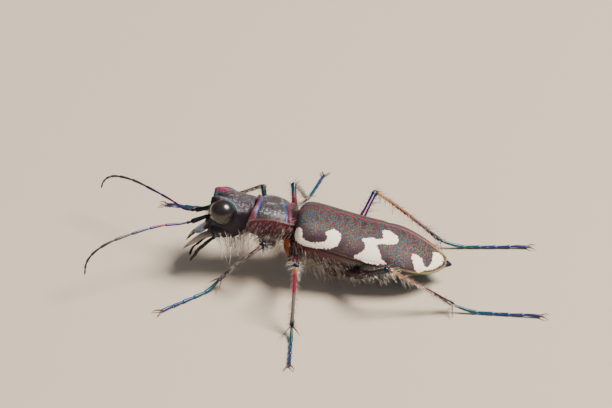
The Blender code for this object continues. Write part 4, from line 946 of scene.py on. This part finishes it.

# Shins (tibiae): straight and thin, pale orange under the knee, on the fore shins a painted highlight,
# red to magenta metal and dark at the ankle, with two brown spurs there and rows of fine white
# bristles down both sides.
TIBIA_TINTS = {
    # On the fore shins the orange just under the knee is a painted highlight.
    "fore": [(0.0, "#5a3a20"), (0.03, "#946034"), (0.06, "#6a3420"), (0.10, "#330814"), (0.82, "#2c0818"),
             (0.94, "#101c38"), (1.0, "#0c1630")],
    "mid": [(0.0, "#0e1a24"), (0.03, "#c08044"), (0.09, "#b85240"), (0.13, "#a82440"), (0.42, "#96203a"),
            (0.48, "#7c6f6a"), (0.88, "#6c625c"), (0.95, "#0e1428"), (1.0, "#0c1228")],
    "hind": [(0.0, "#0c1424"), (0.035, "#c08444"), (0.10, "#946024"), (0.30, "#744418"), (0.55, "#5c2418"),
             (0.78, "#3f1418"), (0.92, "#1c0f26"), (1.0, "#0a1a38")],
}
SPUR_LENGTH = 0.90
SPUR_AHEAD = {"fore": 0.60, "mid": 0.85, "hind": 0.05}
tibia_cuticle = {p: leg_cuticle(p + " tibia cuticle", tints, 0.4) for p, tints in TIBIA_TINTS.items()}
spur_cuticle = leg_cuticle("brown spur cuticle", [(0.0, "#2a1a14"), (0.7, "#3f2a1c"), (1.0, "#1a1210")], 0.0)
for leg, (knee, ankle, toe) in LEGS.items():
    pair, side_name = leg.split("_")
    knee, ankle = np.array(knee), np.array(ankle)
    down = (ankle - knee) / np.linalg.norm(ankle - knee)
    bow = np.cross(down, np.cross((0, 0, 1), down)) * 0.05
    path = curve([knee + down * 0.06, (knee + ankle) / 2 + bow, ankle], 60)
    share = np.linspace(0, 1, 60)
    radii = 0.100 + 0.018 * bell(share, 0.05, 0.05) + 0.030 * np.clip((share - 0.82) / 0.14, 0, 1)
    radii *= np.clip(share / 0.02, 0.35, 1) ** 0.5 * np.clip((1.0 - share) / 0.02, 0.5, 1) ** 0.5
    rings = tube(path, radii, 24)
    tibia = shell("tibia_%s_skin" % leg, rings, Matrix(), tibia_cuticle[pair], {"along": share[:, None]})
    mounted(tibia, "tibia", "tibia_" + leg)
    bristle_bed(rings, (0.0, pi), *((2.0, 0.52) if pair == "hind" else (2.6, 0.34)), 0.95, 0.75)
    foot = np.array((*toe, 0.1)) - ankle
    foot /= np.linalg.norm(foot)
    across = np.cross(down, foot)
    across /= np.linalg.norm(across)
    spurs = []
    for side in (1, -1):
        heading = foot * SPUR_AHEAD[pair] + across * side * 0.60
        heading[2] = -0.35
        root = ankle - down * 0.10
        tip = root + heading / np.linalg.norm(heading) * SPUR_LENGTH
        tip[2] = max(tip[2], 0.05)
        spur = curve([root, (root + tip) / 2 + (0, 0, 0.03), tip], 12)
        spurs.append(tube(spur, 0.045 * (1 - np.linspace(0, 0.96, 12) ** 1.6), 10))
    along = [np.linspace(0, 1, 12)[:, None]] * 2
    spur = shell("spurs_" + leg, spurs, Matrix(), spur_cuticle, {"along": along})
    mounted(spur, "tibia")

# Feet (tarsi): five slim segments, each wider at its far end, that lie on the ground, and two
# curved claws. Teal at the ankle, then blue and blue violet further out, with dark joints.
TARSUS_SHARES = (1.40, 0.92, 0.92, 0.80, 1.00)
TARSUS_RADIUS = 0.105
# Height of the foot's middle line along its length: 1 is the ankle's height, 0 the toe's.
TARSUS_DROP = ((0.0, 1.0), (0.10, 0.55), (0.22, 0.14), (0.34, 0.03), (0.5, 0.02), (1.0, 0.02))
TARSUS_TINTS = [(0.0, "#081c24"), (0.15, "#0f545c"), (0.45, "#163e6c"), (0.75, "#282e60"), (1.0, "#121430")]
tarsus_cuticle = leg_cuticle("blue tarsal cuticle", TARSUS_TINTS, 0.45)
claw_cuticle = leg_cuticle("brown claw cuticle", [(0.0, "#3a2a24"), (0.6, "#6a4730"), (1.0, "#1a1210")], 0.0)
for leg, (knee, ankle, toe) in LEGS.items():
    ankle = np.array(ankle)
    toe = np.array((*toe, TARSUS_RADIUS))
    share = np.linspace(0, 1, 140)
    path = ankle + (toe - ankle) * share[:, None]
    drop = smooth(TARSUS_DROP, share)[:, 0]
    path[:, 2] = TARSUS_RADIUS + (ankle[2] - TARSUS_RADIUS) * drop
    path[:, 2] += 0.045 * bell(share, 0.86, 0.08)
    swell, number, within = jointed(TARSUS_SHARES, 140, 0.62, 0.88)
    swell *= np.clip(share / 0.01, 0.5, 1) * np.clip((1 - share) / 0.012, 0.45, 1)
    rings = tube(path, TARSUS_RADIUS * swell, 20)
    tarsus = shell("tarsus_%s_skin" % leg, rings, Matrix(), tarsus_cuticle,
                   {"along": (0.75 * share + 0.22 * bell(within, 1.0, 0.12))[:, None]})
    mounted(tarsus, "tarsus", "tarsus_" + leg)
    bristle_bed(rings, (0.0, pi), 0.45, 0.22, 0.9, 0.9)
    onward = toe - ankle
    onward[2] = 0.0
    onward /= np.linalg.norm(onward)
    claws = []
    for side in (1, -1):
        out = np.array((-onward[1] * side, onward[0] * side, 0.0))
        root = path[-4]
        claw = curve([root, root + onward * 0.24 + out * 0.16 + (0, 0, 0.05),
                      root + onward * 0.46 + out * 0.26,
                      root + onward * 0.58 + out * 0.22 + (0, 0, -0.085)], 18)
        claws.append(tube(claw, 0.052 * (1 - np.linspace(0, 0.95, 18) ** 1.4), 10))
    along = [np.linspace(0, 1, 18)[:, None]] * 2
    claw = shell("claws_" + leg, claws, Matrix(), claw_cuticle, {"along": along})
    mounted(claw, "tarsus")

# Coat: stiff white hairs, thick at the root and fine at the tip. They stand in a fringe below
# the shield, sweep back over the chest, lie flat on the shield and line the legs in rows. Real
# ones are about 0.015 mm thick, and these up to 0.05 mm at the root, so that they show.
hairs = bpy.data.node_groups.new("tapered hairs", "GeometryNodeTree")
for name, kind in (("Skin", "Geometry"), ("Density", "Float"), ("Length", "Float"), ("Thickness", "Float"),
                   ("Scatter", "Float"), ("Bend", "Float"), ("Seed", "Int"), ("Material", "Material")):
    hairs.interface.new_socket(name, in_out="INPUT", socket_type="NodeSocket" + kind)
hairs.interface.new_socket("Hairs", in_out="OUTPUT", socket_type="NodeSocketGeometry")
given = add(hairs, "NodeGroupInput").node.outputs
hair, long, lie, root, patch = [
    add(hairs, "GeometryNodeInputNamedAttribute", {"Name": name}, data_type=kind)
    for name, kind in (("hair", "FLOAT"), ("length", "FLOAT"), ("lie", "FLOAT_VECTOR"),
                       ("root_map", "FLOAT_VECTOR"), ("patch", "FLOAT_VECTOR"))]
# Roots are strewn where the skin's own hair value asks for them, and each hair leans its way.
wanted = add(hairs, "ShaderNodeMath", {0: hair, 1: given["Density"]}, operation="MULTIPLY")
roots = add(hairs, "GeometryNodeDistributePointsOnFaces", {
    "Mesh": given["Skin"], "Density": wanted, "Seed": given["Seed"]})
stray = add(hairs, "FunctionNodeRandomValue", {0: (-1, -1, -1), 1: (1, 1, 1), "Seed": given["Seed"]},
            data_type="FLOAT_VECTOR")
strayed = add(hairs, "ShaderNodeVectorMath", {0: stray, "Scale": given["Scatter"]}, operation="SCALE")
heading = add(hairs, "ShaderNodeVectorMath", {0: lie, 1: strayed}, operation="ADD")
stood = add(hairs, "FunctionNodeAlignRotationToVector", {"Vector": heading}, axis="Z")
turned = add(hairs, "FunctionNodeAlignRotationToVector", {"Rotation": stood, "Vector": (0, 0, -1)},
             axis="X", pivot_axis="Z")
varied = add(hairs, "FunctionNodeRandomValue", {2: 0.60, 3: 1.20, "Seed": 5}, data_type="FLOAT")
sized = add(hairs, "ShaderNodeMath", {0: long, 1: given["Length"]}, operation="MULTIPLY")
scale = add(hairs, "ShaderNodeMath", {0: sized, 1: varied}, operation="MULTIPLY")
# One hair, 1 long: a bent, tapered shaft with three sides.
halfway = add(hairs, "ShaderNodeMath", {0: given["Bend"], 1: 0.35}, operation="MULTIPLY")
tip = add(hairs, "ShaderNodeCombineXYZ", {"X": given["Bend"], "Z": 1.0})
shoulder = add(hairs, "ShaderNodeCombineXYZ", {"X": halfway, "Z": 0.70})
shaft = add(hairs, "GeometryNodeCurvePrimitiveBezierSegment", {
    "Resolution": 4, "Start": (0, 0, -0.03), "Start Handle": (0, 0, 0.30), "End Handle": shoulder,
    "End": tip})
outline = add(hairs, "GeometryNodeCurvePrimitiveCircle", {"Resolution": 3, "Radius": given["Thickness"]})
reach = add(hairs, "GeometryNodeSplineParameter", out="Factor")
taper = add(hairs, "ShaderNodeMapRange", {0: reach, 1: 0.25, 2: 1.0, 3: 1.0, 4: 0.12})
solid = add(hairs, "GeometryNodeCurveToMesh", {"Curve": shaft, "Profile Curve": outline, "Scale": taper,
                                               "Fill Caps": True})
spot = add(hairs, "GeometryNodeInputPosition")
marked = add(hairs, "GeometryNodeStoreNamedAttribute", {"Geometry": solid, "Name": "patch", "Value": spot},
             data_type="FLOAT_VECTOR", domain="POINT")
grown = add(hairs, "GeometryNodeInstanceOnPoints", {"Points": roots, "Instance": marked, "Rotation": turned,
                                                    "Scale": scale})
real = add(hairs, "GeometryNodeRealizeInstances", {"Geometry": grown})
# Each hair gets its own small patch of the bake map, round its root's place on the skin.
flat = add(hairs, "ShaderNodeSeparateXYZ", {"Vector": patch}).node.outputs
laid = add(hairs, "ShaderNodeCombineXYZ", {"X": flat["X"], "Y": flat["Z"]})
small = add(hairs, "ShaderNodeVectorMath", {0: laid, "Scale": 0.003}, operation="SCALE")
baked = add(hairs, "ShaderNodeVectorMath", {0: root, 1: small}, operation="ADD")
mapped = add(hairs, "GeometryNodeStoreNamedAttribute", {"Geometry": real, "Name": "OFBake", "Value": baked},
             data_type="FLOAT2", domain="CORNER")
# No point of a hair goes below the floor: lower ones are raised to 0.01 mm above it.
height = add(hairs, "ShaderNodeSeparateXYZ", {"Vector": spot}, out="Z")
lowest = add(hairs, "ShaderNodeMath", {0: 0.01 * MM, 1: height}, operation="SUBTRACT")
lifted = add(hairs, "ShaderNodeMath", {0: lowest, 1: 0.0}, operation="MAXIMUM")
raised = add(hairs, "ShaderNodeCombineXYZ", {"Z": lifted})
clear = add(hairs, "GeometryNodeSetPosition", {"Geometry": mapped, "Offset": raised})
coated = add(hairs, "GeometryNodeSetMaterial", {"Geometry": clear, "Material": given["Material"]})
add(hairs, "NodeGroupOutput", {0: coated})

hair_keratin, tree, shader = surface("white bristle chitin", {"Roughness": 0.5, "Specular IOR Level": 0.4})
place = add(tree, "ShaderNodeTexCoord", out="Object")
tuft = add(tree, "ShaderNodeTexNoise", {"Vector": place, "Scale": 5000.0, "Detail": 2.0})
pale = add(tree, "ShaderNodeValToRGB", {"Fac": tuft},
           [(0.38, "#6e6459"), (0.54, "#b4aca0"), (0.68, "#e8e4dc")])
fill(shader, {"Base Color": pale})
SKIN_VALUES = ("hair length lie root_map patch back groove furrow margin rim brow orbit crest lined glint "
               "ledge").split()


def coat(name, skin, slot, **values):
    """Hairs grown on a copy of a skin, as a mesh of their own, kept short enough to clear the floor."""
    bed = placed(name + "_bed", skin.data.copy())
    count = len(bed.data.vertices)
    spots, lies, lengths = np.zeros(count * 3), np.zeros(count * 3), np.zeros(count)
    bed.data.vertices.foreach_get("co", spots)
    bed.data.attributes["lie"].data.foreach_get("vector", lies)
    bed.data.attributes["length"].data.foreach_get("value", lengths)
    lies = lies.reshape(-1, 3)
    fall = lies[:, 2] / np.maximum(np.linalg.norm(lies, axis=1), 0.1)
    sink = values["Bend"] + 0.5 * values["Scatter"] - fall
    room = np.maximum(spots[2::3] / MM - 0.10, 0.05) / np.maximum(sink, 0.05) / 1.2
    bed.data.attributes["length"].data.foreach_set("value", np.minimum(lengths, room).astype(np.float32))
    grower = bed.modifiers.new("hairs", "NODES")
    grower.node_group = hairs
    values.update(Material=hair_keratin, Length=MM)
    for item in hairs.interface.items_tree:
        if item.in_out == "INPUT" and item.name in values:
            grower[item.identifier] = values[item.name]
    bpy.context.view_layer.update()
    done = bed.evaluated_get(bpy.context.evaluated_depsgraph_get())
    mesh = bpy.data.meshes.new_from_object(done)
    mesh.name = name
    for layer in SKIN_VALUES:
        if layer in mesh.attributes:
            mesh.attributes.remove(mesh.attributes[layer])
    mesh.shade_smooth()
    bed.modifiers.clear()
    bpy.data.objects.remove(bed)
    return mounted(placed(name, mesh), slot)


coat("chest_coat", under, "underside", Density=4.6e7, Thickness=0.013, Scatter=0.34, Bend=0.25, Seed=3)
coat("shield_coat", prothorax, "pronotum", Density=7.5e7, Thickness=0.018, Scatter=0.40, Bend=0.22, Seed=4)
coat("head_bristles", head, "head", Density=1.3e7, Thickness=0.014, Scatter=0.45, Bend=0.20, Seed=5)
leg_bed = shell("leg_beds", hair_beds, Matrix(), hair_keratin,
                {key: [value[key] for value in hair_values] for key in ("hair", "length", "lie")})
coat("leg_bristles", leg_bed, "femur", Density=8.0e7, Thickness=0.032, Scatter=0.30, Bend=0.18, Seed=6)
bpy.data.objects.remove(leg_bed)
